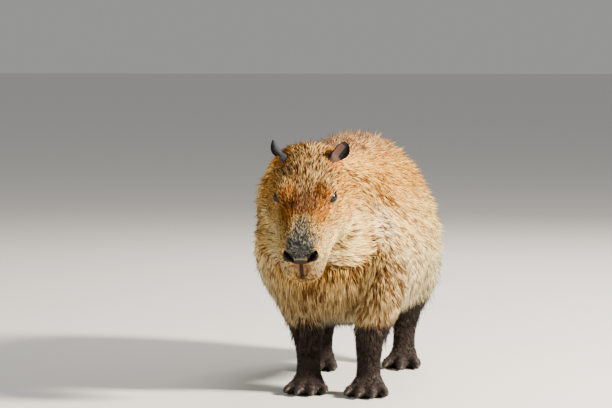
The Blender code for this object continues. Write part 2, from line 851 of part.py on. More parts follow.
def make_trunk(collection, scratch, material):
    """Neck and torso, made as one body, with seats for the head, ears and legs, then parted."""
    body = trunk_object(CORE_DEPTH, scratch)
    combine(body, lock_meshes(scratch), "UNION")
    cutters = [grown(head_mesh()), grown(ear_mesh(1)), grown(ear_mesh(-1))]
    for side in ("left", "right"):
        cutters += [grown(leg_mesh(foreleg_sections(side))), grown(leg_mesh(hindleg_sections(side)))]
    cutters.append(slab("neck_cut", *NECK_CUT))
    for cutter in cutters:
        combine(body, [cutter], "DIFFERENCE")
    found = set()
    for volume, piece in closed_surfaces(body.data):
        name = "neck" if ahead_of(middle_of(piece), NECK_CUT) > 0 else "torso"
        if name not in found:
            mesh = bpy.data.meshes.new(name)
            piece.to_mesh(mesh)
            place_object(name, mesh, collection, material)
        found.add(name)
        piece.free()
    bpy.data.objects.remove(body)


def build():
    clear_scene()
    animal = new_collection("capybara")
    scratch = new_collection("scratch")
    materials = {name: make_material(name) for name in COLOURS}
    make_head(animal, materials["face"])
    make_trunk(animal, scratch, materials["coat"])

    for side, sign in (("left", 1), ("right", -1)):
        place_object(f"eye_{side}", eye_mesh(sign), animal, materials["eye"])
        place_object(f"ear_{side}", ear_mesh(sign), animal, materials["ear"])
        for kind, sections in (("fore", foreleg_sections(side)), ("hind", hindleg_sections(side))):
            place_object(f"{kind}leg_{side}", leg_mesh(sections), animal, materials["leg"])
            foot = foot_mesh(kind, side, scratch)
            x, y = FOOT_KINDS[kind]["places"][side]
            place_object(f"{kind}foot_{side}", foot, animal, materials["leg"])
            for number, toe in enumerate(FOOT_KINDS[kind]["toes"], 1):
                claw = claw_mesh(kind, x, y, toe)
                place_object(f"{kind}claw_{side}_{number}", claw, animal, materials["claw"])
    bpy.data.collections.remove(scratch)
    for thing in animal.objects:
        thing.data.transform(Matrix.Translation(STANDS_AT))


build()
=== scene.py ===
# A capybara at life size, standing with its head lowered and a little to its right.
# Metres. The animal faces -Y, its left side is +X, and the floor is Z = 0.
import math

import bmesh
import bpy
import numpy as np
from mathutils import Matrix, Vector
from mathutils.bvhtree import BVHTree
from mathutils.kdtree import KDTree


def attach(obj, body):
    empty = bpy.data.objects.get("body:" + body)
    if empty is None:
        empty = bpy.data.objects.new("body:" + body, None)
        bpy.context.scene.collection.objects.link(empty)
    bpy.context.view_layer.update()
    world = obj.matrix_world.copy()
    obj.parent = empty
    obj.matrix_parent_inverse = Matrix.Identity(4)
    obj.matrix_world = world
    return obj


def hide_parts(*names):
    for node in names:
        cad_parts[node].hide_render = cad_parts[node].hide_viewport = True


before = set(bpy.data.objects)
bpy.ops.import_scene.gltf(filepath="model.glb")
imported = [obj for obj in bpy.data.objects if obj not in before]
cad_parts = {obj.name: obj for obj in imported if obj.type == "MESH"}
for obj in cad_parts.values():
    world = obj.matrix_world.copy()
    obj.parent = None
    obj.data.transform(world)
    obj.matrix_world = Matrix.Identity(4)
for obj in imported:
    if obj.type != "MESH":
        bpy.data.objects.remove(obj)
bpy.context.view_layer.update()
print("frame loaded")

# camera: same height and angle as the photo's, from a few metres away
view = {"azimuth": 6.0, "elevation": 3.5, "distance": 5.5, "lens": 152.06,
        "target": (-0.0915, 0.0192, 0.3698)}

turn, rise = math.radians(view["azimuth"]), math.radians(view["elevation"])
away = Vector((math.sin(turn) * math.cos(rise), -math.cos(turn) * math.cos(rise), math.sin(rise)))
lensData = bpy.data.cameras.new("camera")
lensData.lens = view["lens"]
lensData.sensor_width = 36
lensData.clip_end = 200
camera = bpy.data.objects.new("camera", lensData)
camera.location = Vector(view["target"]) + away * view["distance"]
camera.rotation_euler = (-away).to_track_quat("-Z", "Y").to_euler()
bpy.context.collection.objects.link(camera)
bpy.context.scene.camera = camera

# studio: soft key from the upper right, weak fill from the left, pale floor
studio = {
    "floor": (0.8, 0.79, 0.77),
    "reach": 60.0,
    "sky": ((0.92, 0.92, 0.9), 0.36),
    "lamps": [  # place, aim, size, watts, colour
        ((3.5, -0.9, 2.3), (0.0, 0.0, 0.3), 0.7, 800, (1.0, 0.91, 0.76)),
        ((-3.0, -3.0, 1.6), (0.0, -0.2, 0.3), 2.4, 34, (1.0, 0.98, 0.95)),
        ((0.6, 3.2, 2.8), (0.0, 0.1, 0.35), 1.6, 110, (1.0, 0.94, 0.84)),
    ],
}


def lightStudio():
    world = bpy.data.worlds.new("studio")
    bpy.context.scene.world = world
    world.use_nodes = True
    sky = world.node_tree.nodes["Background"]
    sky.inputs["Color"].default_value = (*studio["sky"][0], 1)
    sky.inputs["Strength"].default_value = studio["sky"][1]
    for number, (place, aim, size, watts, colour) in enumerate(studio["lamps"]):
        data = bpy.data.lights.new(f"lamp{number}", "AREA")
        data.energy, data.color, data.size = watts, colour, size
        lamp = bpy.data.objects.new(f"lamp{number}", data)
        lamp.location = place
        lamp.rotation_euler = (Vector(aim) - Vector(place)).to_track_quat("-Z", "Y").to_euler()
        bpy.context.collection.objects.link(lamp)
    data = bpy.data.meshes.new("floor")
    r = studio["reach"]
    data.from_pydata([(-r, -r, 0), (r, -r, 0), (r, r, 0), (-r, r, 0)], [], [(0, 1, 2, 3)])
    ground = bpy.data.objects.new("floor", data)
    bpy.context.collection.objects.link(ground)
    finish = bpy.data.materials.new("paleFloor")
    finish.use_nodes = True
    shader = finish.node_tree.nodes["Principled BSDF"]
    shader.inputs["Base Color"].default_value = (*studio["floor"], 1)
    shader.inputs["Roughness"].default_value = 0.9
    data.materials.append(finish)


lightStudio()

# body sizes to the tips of the coat, as in the solids
body = {
    "stand": (0.0018, 0.0248, 0.0),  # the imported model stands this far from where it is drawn
    "torso": [  # along, shift, half width, top, bottom, widest level
        (0.448, 0.0, 0.072, 0.392, 0.262, 0.322),
        (0.42, 0.0, 0.118, 0.434, 0.218, 0.312),
        (0.373, 0.0, 0.152, 0.47, 0.184, 0.298),
        (0.295, 0.0, 0.175, 0.5, 0.168, 0.285),
        (0.2, 0.0, 0.184, 0.514, 0.15, 0.275),
        (0.08, 0.0, 0.184, 0.518, 0.134, 0.268),
        (-0.04, -0.005, 0.182, 0.516, 0.13, 0.27),
        (-0.14, -0.014, 0.174, 0.506, 0.136, 0.28),
        (-0.215, -0.02, 0.155, 0.49, 0.148, 0.29),
        (-0.275, -0.026, 0.124, 0.45, 0.168, 0.292),
        (-0.318, -0.03, 0.08, 0.395, 0.21, 0.295),
    ],
    "torsoEnds": ((0, 0.458, 0.318), (-0.031, -0.33, 0.29)),
    "torsoRound": (2.12, 64, 0.19),  # squareness, points around, narrowing at the top
    "neck": [  # middle, tilt, half width, reach up, reach down
        (-0.018, -0.11, 0.355, 0, 0.145, 0.138, 0.14),
        (-0.03, -0.19, 0.366, 8, 0.143, 0.138, 0.145),
        (-0.042, -0.25, 0.375, 18, 0.13, 0.13, 0.14),
        (-0.05, -0.3, 0.386, 28, 0.108, 0.11, 0.124),
        (-0.053, -0.352, 0.392, 36, 0.07, 0.066, 0.082),
    ],
    "neckRound": (2.1, 64),
    "breast": ((-0.034, -0.232, 0.302), (0.146, 0.088, 0.116)),
    "thigh": ((0.104, 0.06, 0.24), (0.076, 0.116, 0.122), 12),  # place, radii, tilt
    "shoulder": ((0.022, 0.034, 0.25), (0.058, 0.08, 0.124), -10),
    "neckSide": ((0.072, -0.228, 0.3), (0.052, 0.068, 0.112)),
    "coatDepth": 0.013,
}

headShape = {
    "nose": (-0.053, -0.497, 0.298),
    "pitch": 36,
    "sections": [  # back from the nose, half width, top, bottom, widest level, squareness
        (0.004, 0.032, 0.025, -0.058, -0.012, 3.0),
        (0.013, 0.04, 0.033, -0.0735, -0.017, 2.9),
        (0.028, 0.0455, 0.037, -0.082, -0.02, 2.8),
        (0.048, 0.049, 0.039, -0.0855, -0.022, 2.8),
        (0.075, 0.052, 0.0405, -0.0875, -0.023, 2.8),
        (0.1, 0.0555, 0.0435, -0.0895, -0.024, 2.7),
        (0.125, 0.06, 0.0485, -0.0935, -0.026, 2.7),
        (0.15, 0.067, 0.055, -0.099, -0.028, 2.6),
        (0.185, 0.076, 0.0655, -0.105, -0.028, 2.5),
        (0.225, 0.085, 0.076, -0.107, -0.026, 2.3),
        (0.255, 0.089, 0.079, -0.105, -0.02, 2.2),
    ],
    "coatDepth": 0.0035,
    "mounds": [  # left, back, up, then radii: brow, cheek, whisker pad, chin, nose bridge
        (0.04, 0.158, 0.04, 0.022, 0.034, 0.02),
        (0.044, 0.19, -0.044, 0.036, 0.056, 0.05),
        (0.02, 0.026, -0.037, 0.022, 0.026, 0.023),
        (0.01, 0.036, -0.07, 0.024, 0.028, 0.016),
        (0.012, 0.06, 0.028, 0.02, 0.052, 0.014),
    ],
}

limbs = {
    "forefeet": {1: (0.062, -0.268), -1: (-0.063, -0.24)},
    "hindfeet": {1: (0.1, 0.222), -1: (-0.078, 0.165)},
    "coatDepth": 0.0018,
    "toe": [(-0.3, 1), (0.2, 0.98), (0.45, 1.06), (0.62, 0.96), (0.85, 1.04), (1.0, 0.84)],  # share, swelling
    "nail": [(0, 1.0), (0.3, 1.0), (0.55, 0.9), (0.75, 0.7), (0.9, 0.46), (0.98, 0.22)],
    "fore": {
        "leg": [  # out, back, level, half width, half depth
            (0.009, 0.014, 0.185, 0.032, 0.037), (0.006, 0.01, 0.15, 0.03, 0.0345),
            (0.002, 0.004, 0.11, 0.0258, 0.029), (0.0, 0.0, 0.075, 0.024, 0.026),
            (0.0, -0.003, 0.04, 0.0255, 0.027),
        ],
        "pad": [(0.02, 0.022, 0.03), (0.0, 0.0285, 0.046), (-0.022, 0.034, 0.04),
                (-0.042, 0.033, 0.028)],
        "toes": [(-0.026, -0.024, 20, 0.033), (-0.0092, -0.034, 6, 0.042),
                 (0.0092, -0.034, -6, 0.042), (0.026, -0.024, -20, 0.033)],
        "toeRadius": 0.0102,
        "claw": 0.017,
    },
    "hind": {
        "leg": [
            (0.002, 0.042, 0.19, 0.036, 0.046), (0.001, 0.05, 0.15, 0.0325, 0.04),
            (0.0, 0.044, 0.105, 0.0265, 0.032), (0.0, 0.022, 0.072, 0.0245, 0.029),
            (0.0, 0.004, 0.04, 0.025, 0.03),
        ],
        "pad": [(0.046, 0.02, 0.03), (0.014, 0.0265, 0.048), (-0.022, 0.0315, 0.038),
                (-0.05, 0.033, 0.029)],
        "toes": [(-0.0225, -0.034, 14, 0.041), (0.0, -0.044, 0, 0.052), (0.0225, -0.034, -14, 0.041)],
        "toeRadius": 0.0118,
        "claw": 0.021,
    },
}

stand = np.array(body["stand"])
nose = np.array(headShape["nose"])
pitch = math.radians(headShape["pitch"])
leftAxis = np.array((1.0, 0.0, 0.0))
backAxis = np.array((0.0, math.cos(pitch), math.sin(pitch)))
upAxis = np.array((0.0, -math.sin(pitch), math.cos(pitch)))
headAxes = np.array((leftAxis, backAxis, upAxis))
upright = np.array((0.0, 0.0, 1.0))
sides = ((1, "left"), (-1, "right"))


def headPoint(left, back, up):
    return nose + leftAxis * left + backAxis * back + upAxis * up


def toHead(points):  # left, back and up of each point, from the tip of the nose
    return (points - nose) @ headAxes.T


def unit(v):
    v = np.asarray(v, float)
    return v / np.maximum(np.linalg.norm(v, axis=-1, keepdims=True), 1e-9)


def smoothStep(x, low, high):
    t = np.clip((x - low) / (high - low), 0, 1)
    return t * t * (3 - 2 * t)


# lofts and ellipsoids, as (points, faces)
def smoothRows(rows, count):
    rows = np.array(rows, float)
    padded = np.vstack([2 * rows[0] - rows[1], rows, 2 * rows[-1] - rows[-2]])
    out = []
    for step in np.linspace(0, len(rows) - 1, count):
        k = min(int(step), len(rows) - 2)
        t = step - k
        a, b, c, d = padded[k : k + 4]
        out.append(0.5 * (2 * b + (c - a) * t + (2 * a - 5 * b + 4 * c - d) * t**2
                          + (3 * b - a - 3 * c + d) * t**3))
    return out


def ring(centre, side, up, halfWidth, reachUp, reachDown, squareness, around, taper=0.0):
    angle = 2 * math.pi * np.arange(around) / around
    c, s = np.cos(angle), np.sin(angle)
    across = np.sign(c) * np.abs(c) ** (2 / squareness) * halfWidth
    high = np.sign(s) * np.abs(s) ** (2 / squareness)
    across *= 1 - taper * np.maximum(0, high)
    high = np.where(high > 0, high * reachUp, high * reachDown)
    return np.asarray(centre) + across[:, None] * np.asarray(side) + high[:, None] * np.asarray(up)


def bandFaces(rings):
    around = len(rings[0])
    faces = []
    for r in range(len(rings) - 1):
        for k in range(around):
            j = (k + 1) % around
            faces.append((r * around + k, r * around + j, (r + 1) * around + j, (r + 1) * around + k))
    return faces


def loft(rings, start=None, end=None):
    around = len(rings[0])
    points = np.vstack(rings)
    faces = bandFaces(rings)
    last = (len(rings) - 1) * around
    for base, pole, flip in ((0, start, True), (last, end, False)):
        loop = [base + k for k in range(around)]
        if pole is None:
            faces.append(tuple(loop[::-1] if flip else loop))
            continue
        points = np.vstack([points, np.asarray(pole)[None]])
        tip = len(points) - 1
        for k in range(around):
            a, b = loop[k], loop[(k + 1) % around]
            faces.append((b, a, tip) if flip else (a, b, tip))
    return points, faces


def ellipsoid(centre, radii, axes=np.eye(3), segments=40, rows=20):
    rings = []
    for k in range(1, rows):
        polar = math.pi * k / rows
        around = 2 * math.pi * np.arange(segments) / segments
        shape = np.stack([np.cos(around) * math.sin(polar), np.sin(around) * math.sin(polar),
                          np.full(segments, math.cos(polar))], axis=1)
        rings.append(np.asarray(centre) + (shape * np.asarray(radii)) @ axes)
    pole = np.asarray(radii)[2] * axes[2]
    return loft(rings, np.asarray(centre) + pole, np.asarray(centre) - pole)


def meshOf(name, forms):
    points, faces, start = [], [], 0
    for place, sides in forms:
        points.append(place)
        faces += [tuple(i + start for i in side) for side in sides]
        start += len(place)
    mesh = bpy.data.meshes.new(name)
    mesh.from_pydata(np.vstack(points).tolist(), [], faces)
    work = bmesh.new()
    work.from_mesh(mesh)
    bmesh.ops.recalc_face_normals(work, faces=work.faces)
    work.to_mesh(mesh)
    work.free()
    return mesh


def setMask(mesh, name, values):
    mesh.attributes.new(name, "FLOAT", "POINT").data.foreach_set("value", np.asarray(values, np.float32))


def addPiece(name, mesh, material, replaced=()):
    mesh.transform(Matrix.Translation(Vector(stand)))
    piece = bpy.data.objects.new(name, mesh)
    bpy.context.collection.objects.link(piece)
    mesh.materials.clear()
    mesh.materials.append(material)
    mesh.shade_smooth()
    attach(piece, "root")
    if replaced:
        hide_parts(*replaced)
    return piece


def treeOf(points):
    tree = KDTree(len(points))
    for number, place in enumerate(points.tolist()):
        tree.insert(place, number)
    tree.balance()
    return tree


def nearest(tree, points):
    return [tree.find(place)[1] for place in points.tolist()]


# eyes: place in the head, way they look, line of the slit
eyes = {"place": (0.05, 0.141, 0.034), "facing": (0.8, -0.45, 0.35), "slit": (0.019, 0.026, 0.012),
        "radius": 0.0125, "halfLength": 0.0138, "halfHeight": 0.0054}


def eyeFrame(sign):  # its middle, then the ways along the slit, across it and out of the head
    left, back, up = eyes["place"]
    facing = unit(headAxes.T @ (np.array(eyes["facing"]) * (sign, 1, 1)))
    slit = headAxes.T @ (np.array(eyes["slit"]) * (sign, 1, 1))
    slit = unit(slit - facing * slit.dot(facing))
    return headPoint(sign * left, back, up), np.array((slit, np.cross(facing, slit), facing))


def toEye(points, sign):
    place, axes = eyeFrame(sign)
    return (points - place) @ axes.T


def almond(turn):  # outline of the opening between the lids
    x = np.cos(turn) * eyes["halfLength"]
    y = np.sin(turn) * eyes["halfHeight"] * (1 - 0.6 * np.abs(np.cos(turn)) ** 2.4)
    return x, y


# one skin under the whole coat
skinShape = {"voxel": 0.004, "rounds": 10}


def legSections(kind, sign):
    x, y = limbs[kind + "feet"][sign]
    return [(x + sign * out, y + back, level, w, deep) for out, back, level, w, deep in limbs[kind]["leg"]]


def toeFrame(kind, sign, toe):
    x, y = limbs[kind + "feet"][sign]
    shift, start, splay, length = toe
    angle = math.radians(splay)
    root = np.array((x + shift, y + start, 0.016))
    ahead = unit((-math.sin(angle), -math.cos(angle), -0.1))
    side = unit(np.cross(ahead, upright))
    return root, ahead, side, np.cross(side, ahead), length


def swelling(place, radii, tilt=0):  # brought in by the depth of the coat
    axes = np.array(Matrix.Rotation(math.radians(tilt), 3, "X")).T
    return ellipsoid(place, np.array(radii) - body["coatDepth"], axes)


def trunkForms():
    inset = body["coatDepth"]
    rings = []
    for along, shift, w, top, low, widest in smoothRows(body["torso"], 44):
        rings.append(ring((shift, along, widest), leftAxis, upright, w - inset, top - widest - inset,
                          widest - low - inset, *body["torsoRound"]))
    back, front = (np.array(p) for p in body["torsoEnds"])
    forms = [loft(rings, back - (0, inset, 0), front + (0, inset, 0))]
    rings = []
    for x, y, z, tilt, w, up, down in smoothRows(body["neck"], 20):
        lean = math.radians(tilt)
        lifted = (0, -math.sin(lean), math.cos(lean))
        reach = (w - inset, up - inset, down - inset)
        rings.append(ring((x, y, z), leftAxis, lifted, *reach, *body["neckRound"]))
    forms += [loft(rings), swelling(*body["breast"])]
    for sign in (1, -1):
        (out, back, level), *shape = body["thigh"]
        forms.append(swelling((sign * out, limbs["hindfeet"][sign][1] + back, level), *shape))
        (out, back, level), *shape = body["shoulder"]
        x, y = limbs["forefeet"][sign]
        forms.append(swelling((x + sign * out, y + back, level), *shape))
        (out, along, level), radii = body["neckSide"]
        forms.append(swelling((sign * out - 0.034, along, level), radii))
    return forms


def headForms():
    inset = headShape["coatDepth"]
    rings = []
    for back, w, top, low, widest, square in smoothRows(headShape["sections"], 48):
        thin = inset * float(smoothStep(back, 0.004, 0.06))
        rings.append(ring(headPoint(0, back, widest), leftAxis, upAxis, w - thin, top - widest - thin,
                          widest - low - thin, square, 72))
    forms = [loft(rings, headPoint(0, 0, -0.008))]
    for left, back, up, a, b, c in headShape["mounds"]:
        for sign in (1, -1):
            forms.append(ellipsoid(headPoint(sign * left, back, up), (a - inset, b, c - inset), headAxes))
    size = eyes["radius"] + 0.0006
    for sign in (1, -1):
        place, axes = eyeFrame(sign)
        forms.append(ellipsoid(place, (size * 1.36, size * 1.08, size), axes))
    return forms


def footForms(kind, sign):
    plan = limbs[kind]
    x, y = limbs[kind + "feet"][sign]
    rings = []
    for back, w, h in smoothRows(plan["pad"], 14):
        rings.append(ring((x, y + back, h * 0.42), leftAxis, upright, w, h * 0.58, h * 0.6, 2.3, 32))
    heel, front = plan["pad"][0][0] + 0.012, plan["pad"][-1][0] - 0.006
    forms = [loft(rings, (x, y + heel, 0.013), (x, y + front, 0.013))]
    size = plan["toeRadius"]
    frames = [toeFrame(kind, sign, toe) for toe in plan["toes"]]
    for root, ahead, side, up, length in frames:
        rings = []
        for share, swell in smoothRows(limbs["toe"], 16):
            rings.append(ring(root + ahead * length * share, side, up, size * swell, size * swell * 0.95,
                              size * 1.35, 2, 24))
        forms.append(loft(rings, None, root + ahead * (length + size * 0.3)))
    for a, b in zip(frames, frames[1:]):  # web between two toes
        middle = (a[0] + b[0]) / 2 + (a[1] + b[1]) / 2 * min(a[4], b[4]) * 0.42
        forms.append(ellipsoid(middle - (0, 0, 0.004), (size * 0.95, size * 1.5, 0.0045)))
    return forms


def limbForms():
    forms = []
    thin = limbs["coatDepth"]
    for kind in ("fore", "hind"):
        for sign in (1, -1):
            rings = []
            for x, y, z, a, b in smoothRows(legSections(kind, sign), 26):
                rings.append(ring((x, y, z), leftAxis, (0, 1, 0), a - thin, b - thin, b - thin, 2.2, 32))
            forms.append(loft(rings))
            forms += footForms(kind, sign)
    return forms


def relax(points, edges, weight, rounds):
    size = len(points)
    degree = np.bincount(edges.ravel(), minlength=size)
    for _ in range(rounds):
        mean = np.stack([np.bincount(edges[:, 0], points[edges[:, 1], k], size) +
                         np.bincount(edges[:, 1], points[edges[:, 0], k], size) for k in range(3)], axis=1)
        points = points + (mean / np.maximum(degree, 1)[:, None] - points) * weight[:, None]
    return points


def readRows(items, key, width, kind=np.float32):
    values = np.empty(len(items) * width, kind)
    items.foreach_get(key, values)
    return values.reshape(-1, width)


def readPoints(mesh):
    return readRows(mesh.vertices, "co", 3).astype(float)


def readEdges(mesh):
    return readRows(mesh.edges, "vertices", 2, np.int32)


def movePoints(mesh, points):
    mesh.vertices.foreach_set("co", points.astype(np.float32).ravel())


def divideFaces(mesh, wanted):  # halves the edges of the faces that are wanted
    work = bmesh.new()
    work.from_mesh(mesh)
    centres = np.array([face.calc_center_median() for face in work.faces])
    work.faces.ensure_lookup_table()
    chosen = np.nonzero(wanted(centres))[0]
    edges = list({edge for k in chosen for edge in work.faces[k].edges})
    bmesh.ops.subdivide_edges(work, edges=edges, cuts=1, use_grid_fill=True)
    bmesh.ops.triangulate(work, faces=[face for face in work.faces if len(face.verts) > 4])
    work.to_mesh(mesh)
    work.free()


def segmentDistance(points, stations):  # to a bent line that has a radius at each station: below 1 is inside
    best = np.full(len(points), 9.0)
    for (a, ra), (b, rb) in zip(stations, stations[1:]):
        a, b = np.array(a), np.array(b)
        t = np.clip(((points - a) @ (b - a)) / ((b - a) @ (b - a)), 0, 1)
        near = np.linalg.norm(points - a - t[:, None] * (b - a), axis=1) / (ra + (rb - ra) * t)
        best = np.minimum(best, near)
    return best


muzzle = {
    "nostril": [((0.015, -0.0125), 0.0026), ((0.0195, -0.008), 0.0045), ((0.025, -0.002), 0.006),
                ((0.029, 0.004), 0.0048), ((0.03, 0.0085), 0.0026)],
    "nostrilDepth": 0.0135,
    "philtrum": [((0.0, -0.02), 0.003), ((0.0, -0.04), 0.0024), ((0.0, -0.057), 0.004)],
    "philtrumDepth": 0.0048,
    "mouthLevel": -0.06,
    "mouthDepth": 0.005,
}


def hump(x, middle, width):
    return np.exp(-(((x - middle) / width) ** 2))


def sculptHead(points):
    h = toHead(points)
    left, back, up = h.T
    front = 1 - smoothStep(back, 0.022, 0.04)
    flat = np.stack([np.abs(left), up], axis=1)
    pit = segmentDistance(flat, muzzle["nostril"])
    move = np.zeros_like(h)
    deep = front * (1 - smoothStep(pit, 0.55, 1.08))
    move[:, 1] += deep * muzzle["nostrilDepth"]
    move[:, 0] -= np.sign(left) * deep * 0.003
    move[:, 1] -= front * hump(pit, 1.45, 0.42) * 0.0014
    cleft = segmentDistance(flat, muzzle["philtrum"])
    move[:, 1] += front * hump(cleft, 0, 1) * muzzle["philtrumDepth"]
    droop = muzzle["mouthLevel"] - 6.0 * left**2 - 0.14 * np.maximum(0, back - 0.01)
    reach = 1 - smoothStep(back, 0.05, 0.064)
    slot = hump(up - droop, 0, 0.002) * reach
    inward = unit(np.stack([-left, np.maximum(0.02, 0.045 - back), 0 * up], axis=1))
    move += inward * (slot * muzzle["mouthDepth"])[:, None]
    lips = (hump(up - droop, 0.006, 0.004) + hump(up - droop, -0.0055, 0.0038)) * reach
    move -= inward * (lips * 0.001)[:, None]
    points = points + move @ headAxes
    for sign in (1, -1):
        e = toEye(points, sign)
        long = np.abs(e[:, 0]) / (eyes["halfLength"] * 1.02)
        high = np.abs(e[:, 1]) / (eyes["halfHeight"] * 1.25)
        inside = (long**1.6 + high**1.8 < 1) & (e[:, 2] > 0.002)
        e[inside, 2] = 0.0035
        place, axes = eyeFrame(sign)
        points[inside] = place + e[inside] @ axes
    return points


def makeSkin():
    mesh = meshOf("skin", trunkForms() + headForms() + limbForms())
    holder = bpy.data.objects.new("skinWork", mesh)
    bpy.context.collection.objects.link(holder)
    change = holder.modifiers.new("voxels", "REMESH")
    change.mode = "VOXEL"
    change.voxel_size = skinShape["voxel"]
    bpy.context.view_layer.update()
    mesh = bpy.data.meshes.new_from_object(holder.evaluated_get(bpy.context.evaluated_depsgraph_get()))
    bpy.data.objects.remove(holder)
    points = readPoints(mesh)
    h = toHead(points)
    onHead = smoothStep(-h[:, 1], -0.235, -0.19) * smoothStep(points[:, 2], 0.22, 0.235)
    onHead *= np.abs(h[:, 0]) < 0.1
    onFoot = 1 - smoothStep(points[:, 2], 0.06, 0.11)
    weight = 0.62 * (1 - 0.8 * onHead) * (1 - 0.7 * onFoot)
    movePoints(mesh, relax(points, readEdges(mesh), weight, skinShape["rounds"]))

    def face(centres):
        q = toHead(centres)
        return (q[:, 1] < 0.21) & (np.abs(q[:, 0]) < 0.085) & (q[:, 2] > -0.11)

    def feature(centres):
        q = toHead(centres)
        near = (q[:, 1] < 0.06) & (np.abs(q[:, 0]) < 0.06) & (q[:, 2] > -0.075)
        for sign in (1, -1):
            near |= np.linalg.norm(toEye(centres, sign), axis=1) < 0.026
        return near

    divideFaces(mesh, lambda c: face(c) | (c[:, 2] < 0.055))
    divideFaces(mesh, feature)
    points = readPoints(mesh)
    h = toHead(points)
    fine = ((h[:, 1] < 0.22) & (h[:, 2] > -0.12)) | (points[:, 2] < 0.06)
    points = relax(points, readEdges(mesh), 0.5 * fine, 4)
    points = sculptHead(points)
    points[:, 2] = np.maximum(points[:, 2], 0.0)
    movePoints(mesh, points)
    mesh.update()
    return mesh


skinMesh = makeSkin()
skinPoints = readPoints(skinMesh)
skinMesh.calc_loop_triangles()
skinTriangles = readRows(skinMesh.loop_triangles, "vertices", 3, np.int32)
skinTree = BVHTree.FromPolygons(skinPoints.tolist(), skinTriangles.tolist())
print("skin", len(skinPoints), "points", len(skinTriangles), "triangles")


# the lie of the coat
def hairLie(points, normals):
    x, y = normals[:, 0], normals[:, 1]
    down = 0.15 + 0.65 * np.abs(x) + 1.8 * np.maximum(0, -y) + 0.8 * np.maximum(0, y)
    lie = np.stack([np.zeros(len(points)), np.ones(len(points)), -down], axis=1)
    swirl = np.sin(points[:, 1] * 21 + 1.3) * np.sin(points[:, 2] * 27 + points[:, 0] * 13)
    lie[:, 2] += 0.22 * swirl
    lie[:, 0] += 0.12 * np.sin(points[:, 1] * 33 + points[:, 2] * 19)
    h = toHead(points)
    side = unit(np.stack([h[:, 0], 0 * h[:, 0], h[:, 2] + 0.03], axis=1))
    ahead = backAxis + 0.42 * side[:, :1] * leftAxis * smoothStep(h[:, 1], 0.02, 0.1)[:, None]
    ahead = ahead - upright * (0.5 * np.maximum(0, -side[:, 2]) + 0.35 * np.abs(side[:, 0]))[:, None]
    onHead = 1 - smoothStep(h[:, 1], 0.19, 0.27)
    onHead *= (np.abs(h[:, 0]) < 0.13) & (h[:, 2] > -0.13)
    lie = lie * (1 - onHead[:, None]) + ahead * onHead[:, None]
    onLeg = 1 - smoothStep(points[:, 2], 0.11, 0.15)
    lie = lie * (1 - onLeg[:, None]) + np.array((0.0, 0.2, -1.0)) * onLeg[:, None]
    return unit(lie - normals * (lie * normals).sum(axis=1, keepdims=True))


def onSkin(points):
    return np.array([skinTree.find_nearest(tuple(p))[0] for p in points.tolist()])


def unwrapped(across, high, along, corner, span):
    turn = np.arctan2(across, high) / (2 * math.pi) + 0.5
    polar = np.arctan2(np.hypot(across, high), along) / math.pi
    return np.stack([corner[0] + span[0] * turn, corner[1] + span[1] * polar], axis=1)


def unwrapPlace(points):  # where a root lies on the flattened skin: trunk, head and four legs apart
    left, back, up = toHead(points).T
    x, y, z = points.T
    region = regionOf(points)
    place = unwrapped(x + 0.01, z - 0.32, 0.5 * (y - 0.06), (0.01, 0.01), (0.97, 0.6))
    head = unwrapped(left, up + 0.03, 0.55 * (0.13 - back), (0.01, 0.63), (0.55, 0.35))
    place[region == 1] = head[region == 1]
    for number, (kind, sign) in enumerate((("fore", 1), ("fore", -1), ("hind", 1), ("hind", -1))):
        footX, footY = limbs[kind + "feet"][sign]
        if kind == "hind":
            footY += 0.03
        turn = np.arctan2(x - footX, y - footY) / (2 * math.pi) + 0.5
        leg = (region == 2) & (np.hypot(x - footX, y - footY) < 0.12) & (np.sign(x) == sign)
        spot = np.stack([0.58 + 0.1 * number + 0.09 * turn, 0.63 + 0.35 * z / 0.2], axis=1)
        place[leg] = spot[leg]
    return place


def regionOf(points):  # 0 trunk, 1 head, 2 leg
    left, back, up = toHead(points).T
    x, y, z = points.T
    head = (back < 0.225) & (np.abs(left) < 0.095) & (up > -0.115) & (up < 0.09) & (y < -0.22)
    leg = (z < 0.118) | ((z < 0.135) & (np.abs(x) < 0.13) & onLimb(points))
    return np.where(leg, 2, np.where(head, 1, 0))


def onLimb(points):
    near = np.zeros(len(points), bool)
    for kind in ("fore", "hind"):
        for sign in (1, -1):
            for x, y, z, a, b in smoothRows(legSections(kind, sign), 12):
                offset = (points - (x, y, z)) / (a + 0.004, b + 0.004, 0.02)
                near |= (offset**2).sum(axis=1) < 1
    return near


# the coat: tufts by region, with their lengths and widths in metres
coat = {
    "seed": 23,
    # spread of widths; locks: share of leaders, least and most pull; own: share of its own tone
    "trunk": {"count": 99000, "length": 0.05, "width": 0.0021, "spread": (0.65, 1.55),
              "locks": ((0.05, 0.15, 0.45), (0.2, 0.4, 0.9)), "own": 0.46},
    "head": {"count": 33000, "length": 0.0135, "width": 0.0012, "spread": (0.7, 1.2),
             "locks": ((0.06, 0.1, 0.3), (0.22, 0.3, 0.8)), "own": 0.62},
    "leg": {"count": 15500, "length": 0.012, "width": 0.0013, "spread": (0.7, 1.2),
            "locks": ((0.06, 0.1, 0.3), (0.2, 0.2, 0.7)), "own": 0.5},
}
draw = np.random.default_rng(coat["seed"])


def scatter(count, density):
    corners = skinPoints[skinTriangles]
    area = np.linalg.norm(np.cross(corners[:, 1] - corners[:, 0], corners[:, 2] - corners[:, 0]), axis=1)
    weight = area * density(corners.mean(axis=1))
    picked = draw.choice(len(area), count, p=weight / weight.sum())
    share = draw.random((count, 2))
    share = np.where(share.sum(axis=1, keepdims=True) > 1, 1 - share, share)
    corner = corners[picked]
    first, second, third = corner[:, 0], corner[:, 1], corner[:, 2]
    return first + share[:, :1] * (second - first) + share[:, 1:] * (third - first)


